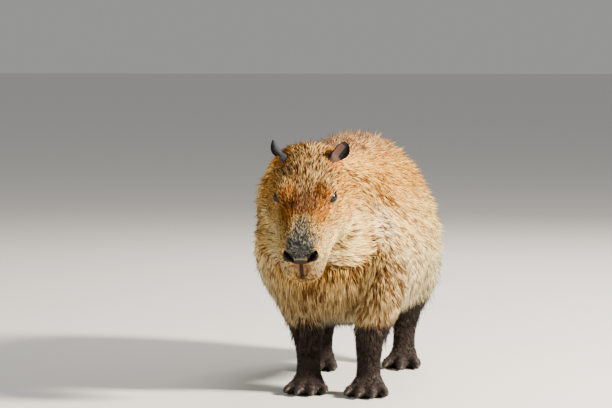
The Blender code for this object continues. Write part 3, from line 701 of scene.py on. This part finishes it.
skinNormals = readRows(skinMesh.vertices, "normal", 3).astype(float)
skinNormals = unit(relax(skinNormals, readEdges(skinMesh), np.full(len(skinNormals), 0.5), 6))
pointTree = treeOf(skinPoints)


def normalsAt(points):
    return skinNormals[nearest(pointTree, points)]


def pathsOf(roots, length, depth, lift):
    normals = normalsAt(roots)
    lie = hairLie(roots, normals)
    spin = draw.normal(0, 0.13, len(roots))[:, None]
    lie = unit(lie + np.cross(normals, lie) * spin)
    ahead = roots + lie * length[:, None] * 0.5
    near = onSkin(ahead)
    ground = ahead + (near - ahead) * 0.8
    n1 = unit(normals + normalsAt(near))
    middle = ground + n1 * (depth * 0.66)[:, None]
    lie1 = hairLie(near, n1)
    lie1 = unit(lie1 + np.cross(n1, lie1) * spin + lie)
    ahead = ground + lie1 * length[:, None] * 0.5
    near = onSkin(ahead)
    ground = ahead + (near - ahead) * 0.65
    n2 = unit(n1 + normalsAt(near))
    tip = ground + n2 * (depth * lift)[:, None]
    return normals, lie, n1, lie1, middle, tip


def gather(roots, middle, tip, share, pull):  # leans each tuft on the nearest leader
    leaders = draw.permutation(len(roots))[: int(len(roots) * share)]
    leader = leaders[nearest(treeOf(roots[leaders]), roots)]
    offset = roots - roots[leader]
    middle = middle + (middle[leader] + offset * 0.75 - middle) * (pull * 0.55)[:, None]
    tip = tip + (tip[leader] + offset * 0.2 - tip) * pull[:, None]
    return middle, tip, leader


def mixTones(coarse, fine, own):  # a tuft is partly as dark as the locks it lies in
    tone = draw.random(len(coarse))
    return own * tone + (1 - own) * (0.65 * tone[fine] + 0.35 * tone[coarse])


# a tuft: two rings of three points, a tip, and a cap at the root
tuftFaces = np.array([(0, 1, 4), (0, 4, 3), (1, 2, 5), (1, 5, 4), (2, 0, 3), (2, 3, 5),
                      (3, 4, 6), (4, 5, 6), (5, 3, 6), (0, 2, 1)])
tuftSpots = np.array([(-1, -1), (1, -1), (0, -1), (-0.8, 0), (0.8, 0), (0, 0), (0, 1)]) * 0.0015


def tuftMesh(name, roots, normals, lie, n1, lie1, middle, tip, width, tone):
    count = len(roots)
    rows = []
    for centre, n, way, scale in ((roots - normals * 0.0015, normals, lie, 1.0), (middle, n1, lie1, 0.86)):
        side = unit(np.cross(way, n))
        half = side * (width * scale * 0.5)[:, None]
        high = n * (width * scale * 0.38)[:, None]
        rows += [centre - half, centre + half, centre + high]
    rows.append(tip)
    points = np.stack(rows, axis=1)
    faces = (tuftFaces[None] + 7 * np.arange(count)[:, None, None]).reshape(-1, 3)
    mesh = bpy.data.meshes.new(name)
    mesh.vertices.add(count * 7)
    movePoints(mesh, points)
    mesh.loops.add(len(faces) * 3)
    mesh.loops.foreach_set("vertex_index", faces.astype(np.int32).ravel())
    mesh.polygons.add(len(faces))
    mesh.polygons.foreach_set("loop_start", np.arange(0, len(faces) * 3, 3, dtype=np.int32))
    mesh.update(calc_edges=True)
    place = unwrapPlace(roots)
    spots = (place[:, None] + tuftSpots[None]).reshape(-1, 2)
    uv = mesh.uv_layers.new(name="OFBake")
    uv.data.foreach_set("uv", spots[faces.ravel()].astype(np.float32).ravel())
    setMask(mesh, "along", np.tile([0, 0, 0, 0.5, 0.5, 0.5, 1.0], count))
    setMask(mesh, "tone", np.repeat(tone, 7))
    return mesh


def comb(plan, roots, length, depth, lift, free=True):  # tufts that lean together in locks
    normals, lie, n1, lie1, middle, tip = pathsOf(roots, length, depth, lift)
    leaders = []
    for share, least, most in plan["locks"]:
        pull = draw.uniform(least, most, len(roots)) * free
        middle, tip, leader = gather(roots, middle, tip, share, pull)
        leaders.append(leader)
    tone = mixTones(*leaders, plan["own"])
    width = plan["width"] * draw.uniform(*plan["spread"], len(roots))
    return {"roots": roots, "normals": normals, "lie": lie, "n1": n1, "lie1": lie1,
            "middle": middle, "tip": tip, "width": width, "tone": tone}


def addTufts(name, keep, tufts):
    rows = {key: values[keep] for key, values in tufts.items()}
    addPiece(name, tuftMesh(name, **rows), coatFinish)


def nearEye(points, reach):
    near = np.zeros(len(points), bool)
    for sign in (1, -1):
        e = toEye(points, sign)
        long = e[:, 0] / (eyes["halfLength"] * 1.2 * reach)
        high = e[:, 1] / (eyes["halfHeight"] * 1.5 * reach)
        near |= (long**2 + high**2 < 1) & (e[:, 2] > 0)
    return near


def onBareNose(points):
    left, back, up = toHead(points).T
    left = np.abs(left)
    pad = segmentDistance(np.stack([left, up], axis=1), muzzle["nostril"]) < 1.45
    pad |= (left < 0.02) & (np.abs(up + 0.015) < 0.0055)
    centre = (back < 0.016) & (left < 0.0075) & (up < -0.01) & (up > -0.058)
    return (back < 0.02) & pad | centre


def growTrunk():
    plan = coat["trunk"]

    def density(c):
        h = toHead(c)
        hidden = (h[:, 1] > 0) & (h[:, 1] < 0.2) & (np.abs(h[:, 0]) < 0.06) & (np.abs(h[:, 2]) < 0.06)
        under = 1 - 0.45 * smoothStep(0.2 - c[:, 2], 0.02, 0.06)
        return (regionOf(c) == 0) * (~hidden) * under

    roots = scatter(plan["count"], density)
    h = toHead(roots)
    normals = normalsAt(roots)
    size = len(roots)
    low = smoothStep(0.3 - roots[:, 2], 0.0, 0.12)
    neck = 1 - smoothStep(h[:, 1], 0.22, 0.33)
    length = plan["length"] * (0.84 + 0.3 * low) * (1 - 0.4 * neck * (normals[:, 2] > -0.2))
    length *= draw.uniform(0.7, 1.22, size)
    depth = body["coatDepth"] * (1 - 0.25 * neck)
    lift = draw.uniform(0.7, 1.25, size)
    stray = draw.random(size) < 0.06
    lift[stray] *= draw.uniform(1.25, 2.0, stray.sum())
    length[stray] *= 1.15
    tufts = comb(plan, roots, length, depth, lift, ~stray)
    hang = length * smoothStep(-normals[:, 2], 0.1, 0.75) * smoothStep(0.3 - roots[:, 2], 0.0, 0.08)
    tufts["tip"][:, 2] -= 0.24 * hang
    tufts["middle"][:, 2] -= 0.06 * hang
    tufts["tip"][:, 2] = np.maximum(tufts["tip"][:, 2], 0.085)
    side = np.where(roots[:, 0] > -0.01, "Left", "Right")
    band = np.digitize(roots[:, 1], np.quantile(roots[:, 1], (0.2, 0.4, 0.6, 0.8)))
    for number, place in enumerate(("Chest", "Shoulder", "Flank", "Loin", "Rump")):
        for which in ("Left", "Right"):
            addTufts(f"coat{place}{which}", (band == number) & (side == which), tufts)


def growHead():
    plan = coat["head"]

    def density(c):
        h = toHead(c)
        return (regionOf(c) == 1) * (1 + 0.5 * (1 - smoothStep(h[:, 1], 0.06, 0.12)))

    roots = scatter(plan["count"], density)
    roots = roots[~nearEye(roots, 1.0) & ~onBareNose(roots)]
    size = len(roots)
    left, back, up = toHead(roots).T
    cheek = smoothStep(back, 0.06, 0.19) * smoothStep(-up, -0.03, 0.04)
    crown = smoothStep(back, 0.15, 0.24) * smoothStep(up, 0.02, 0.06)
    snout = 1 - smoothStep(back, 0.03, 0.12)
    jaw = smoothStep(-up, 0.05, 0.085) * smoothStep(back, 0.02, 0.08)
    length = plan["length"] * (1 + 1.15 * cheek + 0.45 * crown - 0.58 * snout + 0.8 * jaw)
    length[nearEye(roots, 1.6)] *= 0.5
    length *= draw.uniform(0.75, 1.25, size)
    depth = 0.0036 + 0.0042 * cheek + 0.0026 * crown - 0.0016 * snout + 0.002 * jaw
    depth[nearEye(roots, 1.6)] *= 0.55
    tufts = comb(plan, roots, length, depth, draw.uniform(0.7, 1.6, size))
    tufts["width"] *= 1 + 0.35 * cheek + 0.25 * crown - 0.15 * snout
    clear = ~(nearEye(tufts["tip"], 0.95) | nearEye(tufts["middle"], 0.95) | onBareNose(tufts["tip"]))
    addTufts("coatHeadLeft", clear & (left > 0), tufts)
    addTufts("coatHeadRight", clear & (left <= 0), tufts)


def growLegs():
    plan = coat["leg"]

    def density(c):
        sole = smoothStep(c[:, 2], 0.004, 0.012)
        return (regionOf(c) == 2) * (0.65 + 0.35 * smoothStep(c[:, 2], 0.03, 0.06)) * sole

    roots = scatter(plan["count"], density)
    size = len(roots)
    high = smoothStep(roots[:, 2], 0.06, 0.125)
    length = plan["length"] * (0.6 + 1.3 * high) * draw.uniform(0.75, 1.25, size)
    tufts = comb(plan, roots, length, 0.0018 + 0.0045 * high, draw.uniform(0.7, 1.5, size))
    tufts["tip"][:, 2] = np.maximum(tufts["tip"][:, 2], 0.001)
    addTufts("coatForelegs", roots[:, 1] < 0, tufts)
    addTufts("coatHindlegs", roots[:, 1] >= 0, tufts)


# finishes
def linear(r, g, b):
    return (*(((c / 255 + 0.055) / 1.055) ** 2.4 if c > 10 else c / 255 / 12.92 for c in (r, g, b)), 1)


class Nodes:  # short forms for adding shader nodes to one tree
    def __init__(self, tree):
        self.tree = tree

    def fill(self, node, values):
        for key, value in values.items():
            if isinstance(value, bpy.types.NodeSocket):
                self.tree.links.new(value, node.inputs[key])
            else:
                node.inputs[key].default_value = value

    def add(self, kind, values=(), **settings):
        made = self.tree.nodes.new("ShaderNode" + kind)
        for key, value in settings.items():
            setattr(made, key, value)
        self.fill(made, dict(values))
        return made

    def mask(self, name):
        return self.add("Attribute", attribute_name=name).outputs["Fac"]

    def math(self, operation, a, b=0.0, clamp=False):
        return self.add("Math", {0: a, 1: b}, operation=operation, use_clamp=clamp).outputs[0]

    def step(self, value, low, high, to=(0.0, 1.0)):
        span = {"Value": value, "From Min": low, "From Max": high, "To Min": to[0], "To Max": to[1]}
        return self.add("MapRange", span, interpolation_type="SMOOTHSTEP").outputs[0]

    def mix(self, factor, a, b, mode="MIX"):
        return self.add("Mix", {0: factor, 6: a, 7: b}, data_type="RGBA", blend_type=mode).outputs[2]

    def noise(self, vector, scale, detail=2.0, rough=0.5):
        values = {"Vector": vector, "Scale": scale, "Detail": detail, "Roughness": rough}
        return self.add("TexNoise", values).outputs

    def vector(self, operation, a, b=(0, 0, 0)):
        made = self.add("VectorMath", {0: a, 1: b}, operation=operation)
        return made.outputs["Value"] if operation in ("LENGTH", "DOT_PRODUCT") else made.outputs["Vector"]

    def reach(self, vector, centre, scale):  # how far out of an ellipsoid
        return self.vector("LENGTH", self.vector("MULTIPLY", self.vector("SUBTRACT", vector, centre), scale))

    def bump(self, height, strength, depth):
        return self.add("Bump", {"Height": height, "Strength": strength, "Distance": depth}).outputs[0]


def newGroup(name, ins, outs):
    group = bpy.data.node_groups.new(name, "ShaderNodeTree")
    for way, sockets in (("INPUT", ins), ("OUTPUT", outs)):
        for label, kind in sockets:
            group.interface.new_socket(name=label, in_out=way, socket_type="NodeSocket" + kind)
    return group, Nodes(group), group.nodes.new("NodeGroupInput"), group.nodes.new("NodeGroupOutput")


# markings shared by skin and coat; head marks are left, back, up and radii from the nose
marks = {
    "ragged": 0.026,  # how far the edges of marks wander
    "levels": (("lowFlank", 0.15, 0.24), ("flank", 0.24, 0.34), ("upperFlank", 0.34, 0.42),
               ("back", 0.462, 0.505)),
    "trunk": {
        "belly": (226, 214, 176), "lowFlank": (242, 226, 176), "flank": (240, 204, 126),
        "upperFlank": (206, 146, 36), "back": (160, 110, 52), "rump": (236, 202, 128),
        # shank: the lower legs' own dark brown, deepened to near black with painted shade
        "chest": (146, 106, 42), "neckSide": (246, 240, 212), "shank": (55, 46, 43),
    },
    "head": [  # colour, middle, radii, strength, width of its soft edge
        ((204, 158, 70), (0.0, 0.13, -0.02), (0.2, 0.15, 0.14), 1.0, 0.55),
        ((236, 214, 148), (0.075, 0.13, -0.06), (0.05, 0.1, 0.07), 0.9, 0.6),
        ((168, 122, 58), (0.0, 0.205, 0.07), (0.07, 0.075, 0.05), 1.0, 0.5),
        ((198, 138, 18), (0.078, 0.18, 0.0), (0.036, 0.062, 0.05), 0.8, 0.6),
        ((172, 106, 0), (0.034, 0.118, 0.04), (0.024, 0.056, 0.03), 0.98, 0.5),
        ((184, 114, 6), (0.052, 0.232, 0.062), (0.022, 0.03, 0.03), 0.85, 0.5),
        ((214, 180, 104), (0.041, 0.16, 0.047), (0.011, 0.017, 0.013), 0.9, 0.4),
        ((184, 126, 26), (0.056, 0.11, -0.002), (0.03, 0.04, 0.03), 0.6, 0.5),
        ((112, 60, 0), (0.0, 0.108, 0.044), (0.028, 0.038, 0.03), 0.92, 0.8),
        ((214, 190, 134), (0.044, 0.05, -0.02), (0.026, 0.046, 0.036), 0.8, 0.6),
        ((58, 64, 70), (0.0, 0.008, 0.018), (0.033, 0.044, 0.03), 1.0, 0.5),
        ((58, 64, 70), (0.0, 0.042, 0.038), (0.017, 0.028, 0.02), 0.85, 0.8),
        ((170, 150, 110), (0.034, 0.024, -0.036), (0.021, 0.036, 0.026), 0.9, 0.5),
        ((120, 98, 66), (0.0, 0.03, -0.08), (0.034, 0.036, 0.02), 0.8, 0.5),
        ((140, 96, 70), (0.011, 0.004, -0.024), (0.007, 0.016, 0.007), 0.8, 0.6),
        ((96, 56, 34), (0.0, 0.006, -0.039), (0.017, 0.022, 0.024), 0.8, 0.8),
        ((42, 16, 9), (0.0, 0.006, -0.04), (0.005, 0.022, 0.024), 0.95, 0.9),
        ((14, 13, 14), (0.024, 0.006, -0.003), (0.0125, 0.016, 0.0135), 1.0, 0.3),
        ((18, 16, 16), (0.0, 0.002, -0.0155), (0.021, 0.016, 0.0058), 1.0, 0.4),
    ],
}


def makeMarkings():
    outs = [("Colour", "Color"), ("Grizzle", "Float"), ("Shank", "Float")]
    group, n, given, out = newGroup("coatMarkings", [("Ragged", "Float")], outs)
    place = n.add("TexCoord").outputs["Object"]
    shake = n.vector("SUBTRACT", n.noise(place, 26, 3)["Color"], (0.5, 0.5, 0.5))
    wobble = n.vector("MULTIPLY", shake, given.outputs["Ragged"])
    soft = n.vector("ADD", place, wobble)
    _, y, z = n.add("SeparateXYZ", {0: soft}).outputs
    c = {key: linear(*value) for key, value in marks["trunk"].items()}
    colour = c["belly"]
    for name, low, high in marks["levels"]:
        colour = n.mix(n.step(z, low, high), colour, c[name])
    colour = n.mix(n.step(y, 0.36, 0.47, (0.0, 0.75)), colour, c["rump"])
    front = n.math("MULTIPLY", n.step(y, -0.15, -0.28), n.step(z, 0.35, 0.235))
    colour = n.mix(n.math("MULTIPLY", front, 0.85), colour, c["chest"])
    ruff = n.reach(soft, (0.075, -0.235, 0.33), (16, 16, 13))
    colour = n.mix(n.step(ruff, 1.0, 0.4, (0.0, 0.8)), colour, c["neckSide"])
    origin = tuple(nose + stand)
    local = n.vector("SUBTRACT", soft, origin)
    exact = n.vector("SUBTRACT", n.vector("ADD", place, n.vector("MULTIPLY", wobble, (0.16,) * 3)), origin)

    def inHead(vector):
        left, back, up = (n.vector("DOT_PRODUCT", vector, tuple(axis)) for axis in headAxes)
        return n.add("CombineXYZ", {0: n.math("ABSOLUTE", left), 1: back, 2: up}).outputs[0]

    loose, tight = inHead(local), inHead(exact)
    for rgb, centre, radii, strength, edge in marks["head"]:
        source = tight if radii[0] < 0.03 else loose
        reach = n.reach(source, centre, tuple(1 / r for r in radii))
        colour = n.mix(n.step(reach, 1.0 + edge / 2, 1.0 - edge / 2, (0.0, strength)), colour, linear(*rgb))
    grey = n.reach(loose, (0.0, 0.02, 0.024), (27, 17, 26))
    fore = n.reach(loose, (0.0, 0.165, 0.055), (15, 9, 16))
    grizzle = n.math("MAXIMUM", n.step(grey, 1.15, 0.8), n.step(fore, 1.1, 0.6, (0.0, 0.6)))
    # legs near black below about 0.16 m: partly their own darker colour, partly painted shade on the lower
    # legs
    low = n.math("ADD", z, n.math("MULTIPLY", n.math("SUBTRACT", n.noise(place, 90)[0], 0.5), 0.03))
    shank = n.step(low, 0.16, 0.128)
    colour = n.mix(shank, colour, c["shank"])
    n.fill(out, {"Colour": colour, "Grizzle": grizzle, "Shank": shank})
    return group


def newFinish(name):
    made = bpy.data.materials.new(name)
    made.use_nodes = True
    n = Nodes(made.node_tree)
    return made, n, made.node_tree.nodes["Principled BSDF"], n.add("TexCoord").outputs["Object"]


def placeMarkings(n):
    return n.add("Group", {"Ragged": marks["ragged"]}, node_tree=markings).outputs


# root darkens each tuft towards the skin: partly the hairs' own darker roots, partly painted shade down in
# the coat
coatLook = {"rough": 0.66, "gloss": 0.14, "under": (0.3, 0.17, 0.07, 1), "root": (0.26, 0.18, 0.11, 1),
            "lit": (1.32, 1.3, 1.24, 1), "cream": (255, 232, 168)}


def makeCoatFinish():
    made, n, shader, _ = newFinish("coarseCoat")
    base, grizzle, shank = placeMarkings(n)
    tone = n.mask("tone")
    blue = n.add("SeparateColor", {0: base}).outputs[2]
    creamy = n.step(blue, 0.0, 0.02, (0.0, 0.22))  # the richest marks stay rich
    creamy = n.math("MULTIPLY", n.math("SUBTRACT", 1.0, shank), creamy)
    deep = n.mix(1.0, base, coatLook["under"], "MULTIPLY")
    pale = n.mix(creamy, n.mix(1.0, base, coatLook["lit"], "MULTIPLY"), linear(*coatLook["cream"]))
    colour = n.mix(n.step(tone, 0.34, 0.46), deep, base)
    colour = n.mix(n.step(tone, 0.52, 0.64), colour, pale)
    fleck = n.math("MULTIPLY", n.step(tone, 0.47, 0.38), grizzle)
    colour = n.mix(n.math("MULTIPLY", fleck, 0.9), colour, linear(30, 26, 26))
    bright = n.math("MULTIPLY", n.step(tone, 0.6, 0.7), grizzle)
    colour = n.mix(n.math("MULTIPLY", bright, 0.22), colour, linear(226, 212, 190))
    shadow = n.mix(1.0, colour, coatLook["root"], "MULTIPLY")
    colour = n.mix(n.step(n.mask("along"), 0.0, 0.6), shadow, colour)
    n.fill(shader, {"Base Color": colour, "Roughness": coatLook["rough"],
                    "Specular IOR Level": coatLook["gloss"]})
    return made


def makeSkinFinish():
    made, n, shader, place = newFinish("undercoatSkin")
    strand = n.noise(n.vector("MULTIPLY", place, (1, 0.35, 0.6)), 420, 4, 0.6)[0]
    h = n.vector("SUBTRACT", place, tuple(nose + stand))
    back, up = (n.vector("DOT_PRODUCT", h, tuple(axis)) for axis in headAxes[1:])
    bare = n.math("MULTIPLY", n.step(back, 0.03, 0.018), n.step(up, -0.056, -0.046))
    foot = n.step(n.add("SeparateXYZ", {0: place}).outputs[2], 0.05, 0.03)
    furry = n.math("SUBTRACT", 1.0, n.math("MAXIMUM", bare, foot), clamp=True)
    # painted shade: where fur covers it, the skin's marking colour is darkened as if shaded by the coat; bare
    # nose, lips and feet stay nearly as they are
    shade = n.mix(furry, (0.95, 0.95, 0.95, 1), (0.4, 0.33, 0.26, 1))
    colour = n.mix(1.0, placeMarkings(n)["Colour"], shade, "MULTIPLY")
    streak = n.step(strand, 0.3, 0.7, (0.75, 1.2))
    streaks = n.add("CombineColor", {0: streak, 1: streak, 2: streak}).outputs[0]
    colour = n.mix(1.0, colour, streaks, "MULTIPLY")
    pebble = n.add("TexVoronoi", {"Vector": place, "Scale": 620.0}).outputs["Distance"]
    n.fill(shader, {"Base Color": colour, "Roughness": n.step(furry, 0.0, 1.0, (0.5, 0.8)),
                    "Normal": n.bump(n.mix(furry, pebble, strand), 0.45, 0.0009), "Specular IOR Level": 0.24})
    return made


def makeEyeFinish():
    made, n, shader, place = newFinish("wetEye")
    colour = n.mix(n.noise(place, 700, 3)[0], linear(26, 15, 10), linear(8, 6, 6))
    n.fill(shader, {"Base Color": colour, "Roughness": 0.09, "Specular IOR Level": 0.24})
    return made


def makeBareFinish(name, deep, light, scale, rough, inner=None, rim=None):
    made, n, shader, place = newFinish(name)
    cloud = n.noise(place, scale, 4, 0.6)[0]
    colour = n.mix(n.step(cloud, 0.3, 0.7), linear(*deep), linear(*light))
    if inner:
        # the cup lining: the ear's own skin colour, darkened with painted shade in the hollow of the cup
        patchy = n.step(n.noise(place, scale * 2)[0], 0.38, 0.62)
        lining = n.mix(patchy, linear(*inner), linear(64, 50, 46))
        colour = n.mix(n.step(n.mask("cup"), 0.25, 0.75), colour, lining)
    if rim:
        colour = n.mix(n.step(n.mask("rim"), 0.2, 0.8), colour, linear(*rim))
    n.fill(shader, {"Base Color": colour, "Normal": n.bump(n.noise(place, scale * 6, 3)[0], 0.5, 0.0005),
                    "Roughness": n.step(cloud, 0.2, 0.8, (rough - 0.08, rough + 0.08)),
                    "Specular IOR Level": 0.2})
    return made


def makeLidFinish():
    made, n, shader, place = newFinish("lidSkin")
    colour = n.mix(1.0, placeMarkings(n)["Colour"], (0.62, 0.52, 0.42, 1), "MULTIPLY")
    # rim: the lids' own near-black margins, plus painted shade in the creases at the eye corners
    colour = n.mix(n.step(n.mask("rim"), 0.15, 0.85), colour, linear(20, 17, 17))
    n.fill(shader, {"Base Color": colour, "Roughness": 0.55,
                    "Normal": n.bump(n.noise(place, 1500, 3)[0], 0.4, 0.0004)})
    return made


markings = makeMarkings()
coatFinish = makeCoatFinish()
skinFinish = makeSkinFinish()
eyeFinish = makeEyeFinish()
lidFinish = makeLidFinish()
earFinish = makeBareFinish("earSkin", (24, 25, 31), (48, 52, 66), 260, 0.75, (78, 50, 40), (13, 12, 14))
clawFinish = makeBareFinish("clawHorn", (24, 20, 18), (62, 54, 48), 300, 0.4)
whiskerFinish = makeBareFinish("whiskerHair", (120, 100, 76), (236, 226, 204), 200, 0.4)
print("finishes made")


# eyes and lids
lids = {
    "rings": [  # wider, taller, lift off the eyeball
        (0.97, 0.86, -0.0012), (1.0, 0.98, 0.0006), (1.03, 1.12, 0.0016), (1.1, 1.42, 0.002),
        (1.22, 1.9, 0.0016),
    ],
    "outer": (0.0205, 0.0155),
    # the first list is the lids' own near-black margins, ring by ring; the second adds painted shade in the
    # creases at the two corners of the eye
    "dark": [1, 1, 1, 0.6, 0.15, 0, 0, 0],
    "cornerCreaseShade": [0, 0, 0, 0.4, 0.8, 0.5, 0, 0],
}


def lidRings(place, axes, turn):
    r = eyes["radius"]
    x, y = almond(turn)
    rings = []
    for wide, tall, lift in lids["rings"]:
        px, py = x * wide, np.sign(y) * np.abs(y) * tall
        pz = np.sqrt(np.maximum(r**2 - px**2 - py**2, (r * 0.42) ** 2)) + lift
        rings.append(place + np.stack([px, py, pz], axis=1) @ axes)
    px, py = np.cos(turn) * lids["outer"][0], np.sin(turn) * lids["outer"][1]
    outer = onSkin(place + np.stack([px, py, np.full(len(px), 0.004)], axis=1) @ axes)
    outer = outer - normalsAt(outer) * 0.0012
    last = rings[-1]
    for share in (0.35, 0.7, 1.0):
        rings.append(last + (outer - last) * share + axes[2] * (0.001 * math.sin(share * math.pi)))
    return rings


def makeEyes():
    for sign, side in sides:
        place, axes = eyeFrame(sign)
        points, faces = ellipsoid(place, (eyes["radius"],) * 3, axes, 56, 36)
        e = toEye(points, sign)
        bulge = np.exp(-((e[:, 0] ** 2 + e[:, 1] ** 2) / 0.0075**2)) * (e[:, 2] > 0) * 0.0005
        ball = meshOf("eyeball", [(points + axes[2] * bulge[:, None], faces)])
        addPiece(f"eyeball{side.capitalize()}", ball, eyeFinish, [f"eye_{side}"])
        turn = np.linspace(0, 2 * math.pi, 72, endpoint=False)
        rings = lidRings(place, axes, turn)
        mesh = meshOf("lids", [(np.vstack(rings), bandFaces(rings))])
        # painted shade in the corner creases, added to the lids' own dark margins
        corner = smoothStep(np.abs(np.cos(turn)), 0.86, 0.97)
        dark = np.array(lids["dark"])[:, None] + np.array(lids["cornerCreaseShade"])[:, None] * corner
        setMask(mesh, "rim", dark.ravel())
        thicken(mesh, 0.001)
        addPiece(f"lids{side.capitalize()}", mesh, lidFinish)


def thicken(mesh, depth):  # closes an open sheet into a thin solid below it
    work = bmesh.new()
    work.from_mesh(mesh)
    bmesh.ops.solidify(work, geom=work.faces[:], thickness=depth)
    bmesh.ops.recalc_face_normals(work, faces=work.faces)
    work.to_mesh(mesh)
    work.free()


# ears: share of length, front reach, rear reach, cup depth, wall
earShape = {
    "place": (0.049, 0.228, 0.062), "length": 0.043, "halfWidth": 0.016,
    "rise": {1: (0.64, 0.08, 0.77), -1: (-0.5, 0.1, 0.86)},
    "opens": {1: (0.62, -0.76, -0.1), -1: (-0.98, -0.22, 0.0)},
    "sections": [
        (-0.28, 0.6, 0.6, 0.0, 0.6), (0.02, 0.66, 0.66, 0.1, 0.56), (0.2, 0.8, 0.84, 0.42, 0.26),
        (0.42, 0.98, 1.02, 0.7, 0.13), (0.58, 1.0, 1.06, 0.74, 0.1), (0.7, 0.94, 0.92, 0.66, 0.09),
        (0.8, 0.84, 0.78, 0.54, 0.085), (0.9, 0.62, 0.58, 0.36, 0.08), (0.985, 0.26, 0.24, 0.14, 0.07),
    ],
}


def makeEars():
    for sign, side in sides:
        left, back, up = earShape["place"]
        root = headPoint(sign * left, back, up)
        rise = unit(earShape["rise"][sign])
        opens = np.array(earShape["opens"][sign])
        opens = unit(opens - rise * opens.dot(rise))
        across = np.cross(rise, opens)
        half = 22
        rings, cup, rim = [], [], []
        for share, front, rear, deep, wall in smoothRows(earShape["sections"], 34):
            row = []
            for face in (0, 1):
                for k in range(half):
                    t = k / (half - 1) if face == 0 else 1 - k / (half - 1)
                    angle = math.pi * (t - 0.5)
                    reach = front if math.sin(angle) * sign > 0 else rear
                    wide = math.sin(angle) * reach * earShape["halfWidth"]
                    bend = (1 - math.cos(angle)) * deep * earShape["halfWidth"]
                    thick = wall * earShape["halfWidth"] * (0.3 + 0.7 * math.cos(angle))
                    place = root + rise * (share * earShape["length"]) + across * wide
                    row.append(place + opens * (bend + (thick if face else -thick)))
                    inside = float(smoothStep(np.cos(angle), 0.25, 0.7))
                    inside *= float(1 - smoothStep(share, 0.72, 0.9))
                    cup.append(face * inside)
                    fold = float(smoothStep(math.sin(angle) * sign, 0.2, 0.45)) if face else 0.0
                    edge = 1 - inside if face else float(abs(np.sin(angle)) > 0.93)
                    rim.append(float(smoothStep(share, 0.1, 0.3)) * max(edge, fold))
            rings.append(np.array(row))
        mesh = meshOf("ear", [loft(rings)])
        setMask(mesh, "cup", cup)
        setMask(mesh, "rim", rim)
        addPiece(f"earShell{side.capitalize()}", mesh, earFinish, [f"ear_{side}"])


def makeClaws():
    for kind in ("fore", "hind"):
        plan = limbs[kind]
        size, reach = plan["toeRadius"] * 0.66, plan["claw"]
        for sign, side in sides:
            for number, toe in enumerate(plan["toes"], 1):
                root, ahead, across, up, length = toeFrame(kind, sign, toe)
                start = root + ahead * (length - 0.001)
                rings = []
                for share, swell in smoothRows(limbs["nail"], 18):
                    centre = start + ahead * reach * share - up * (0.0045 * share**2)
                    w = size * swell
                    rings.append(ring(centre, across, up, w, w * 0.9, w * 0.62, 2.5, 24))
                claw = meshOf("claw", [loft(rings, None, start + ahead * reach - up * 0.0048)])
                name = f"{kind}Claw{side.capitalize()}{number}"
                addPiece(name, claw, clawFinish, [f"{kind}claw_{side}_{number}"])


whiskers = {"count": 14, "length": 0.036, "radius": 0.00026, "seed": 4, "sag": 0.3,
            "area": ((0.026, 0.046), (0.012, 0.05), (-0.04, -0.01))}  # left, back, up


def makeWhiskers():
    pick = np.random.default_rng(whiskers["seed"])
    forms = []
    for sign in (1, -1):
        for _ in range(whiskers["count"]):
            left, back, up = (pick.uniform(*span) for span in whiskers["area"])
            start = onSkin(headPoint(sign * left, back, up)[None])
            normal = normalsAt(start)[0]
            way = normal * 0.9 + leftAxis * sign * 0.5 + backAxis * pick.uniform(0.1, 0.6)
            way = unit(way - upright * pick.uniform(0.1, 0.7))
            side = unit(np.cross(way, (0.3, 0.1, 1)))
            up = np.cross(side, way)
            length = whiskers["length"] * pick.uniform(0.6, 1.2)
            rings = []
            for share in (0, 0.3, 0.6, 0.85):
                centre = start[0] - normal * 0.001 + way * length * share
                centre = centre - upright * whiskers["sag"] * length * share**2
                rings.append(ring(centre, side, up, *(whiskers["radius"] * (1 - 0.75 * share),) * 3, 2, 4))
            forms.append(loft(rings, None, start[0] + way * length - upright * whiskers["sag"] * length))
    addPiece("whiskers", meshOf("whiskers", forms), whiskerFinish)


makeEyes()
makeEars()
makeClaws()
makeWhiskers()
print("eyes, ears, claws and whiskers made")

growTrunk()
growHead()
growLegs()
print("coat made")

flesh = ["head", "neck", "torso"]
flesh += [f"{kind}{part}_{side}" for kind in ("fore", "hind") for part in ("leg", "foot")
          for _, side in sides]
addPiece("skin", skinMesh, skinFinish, flesh)
print("skin placed")
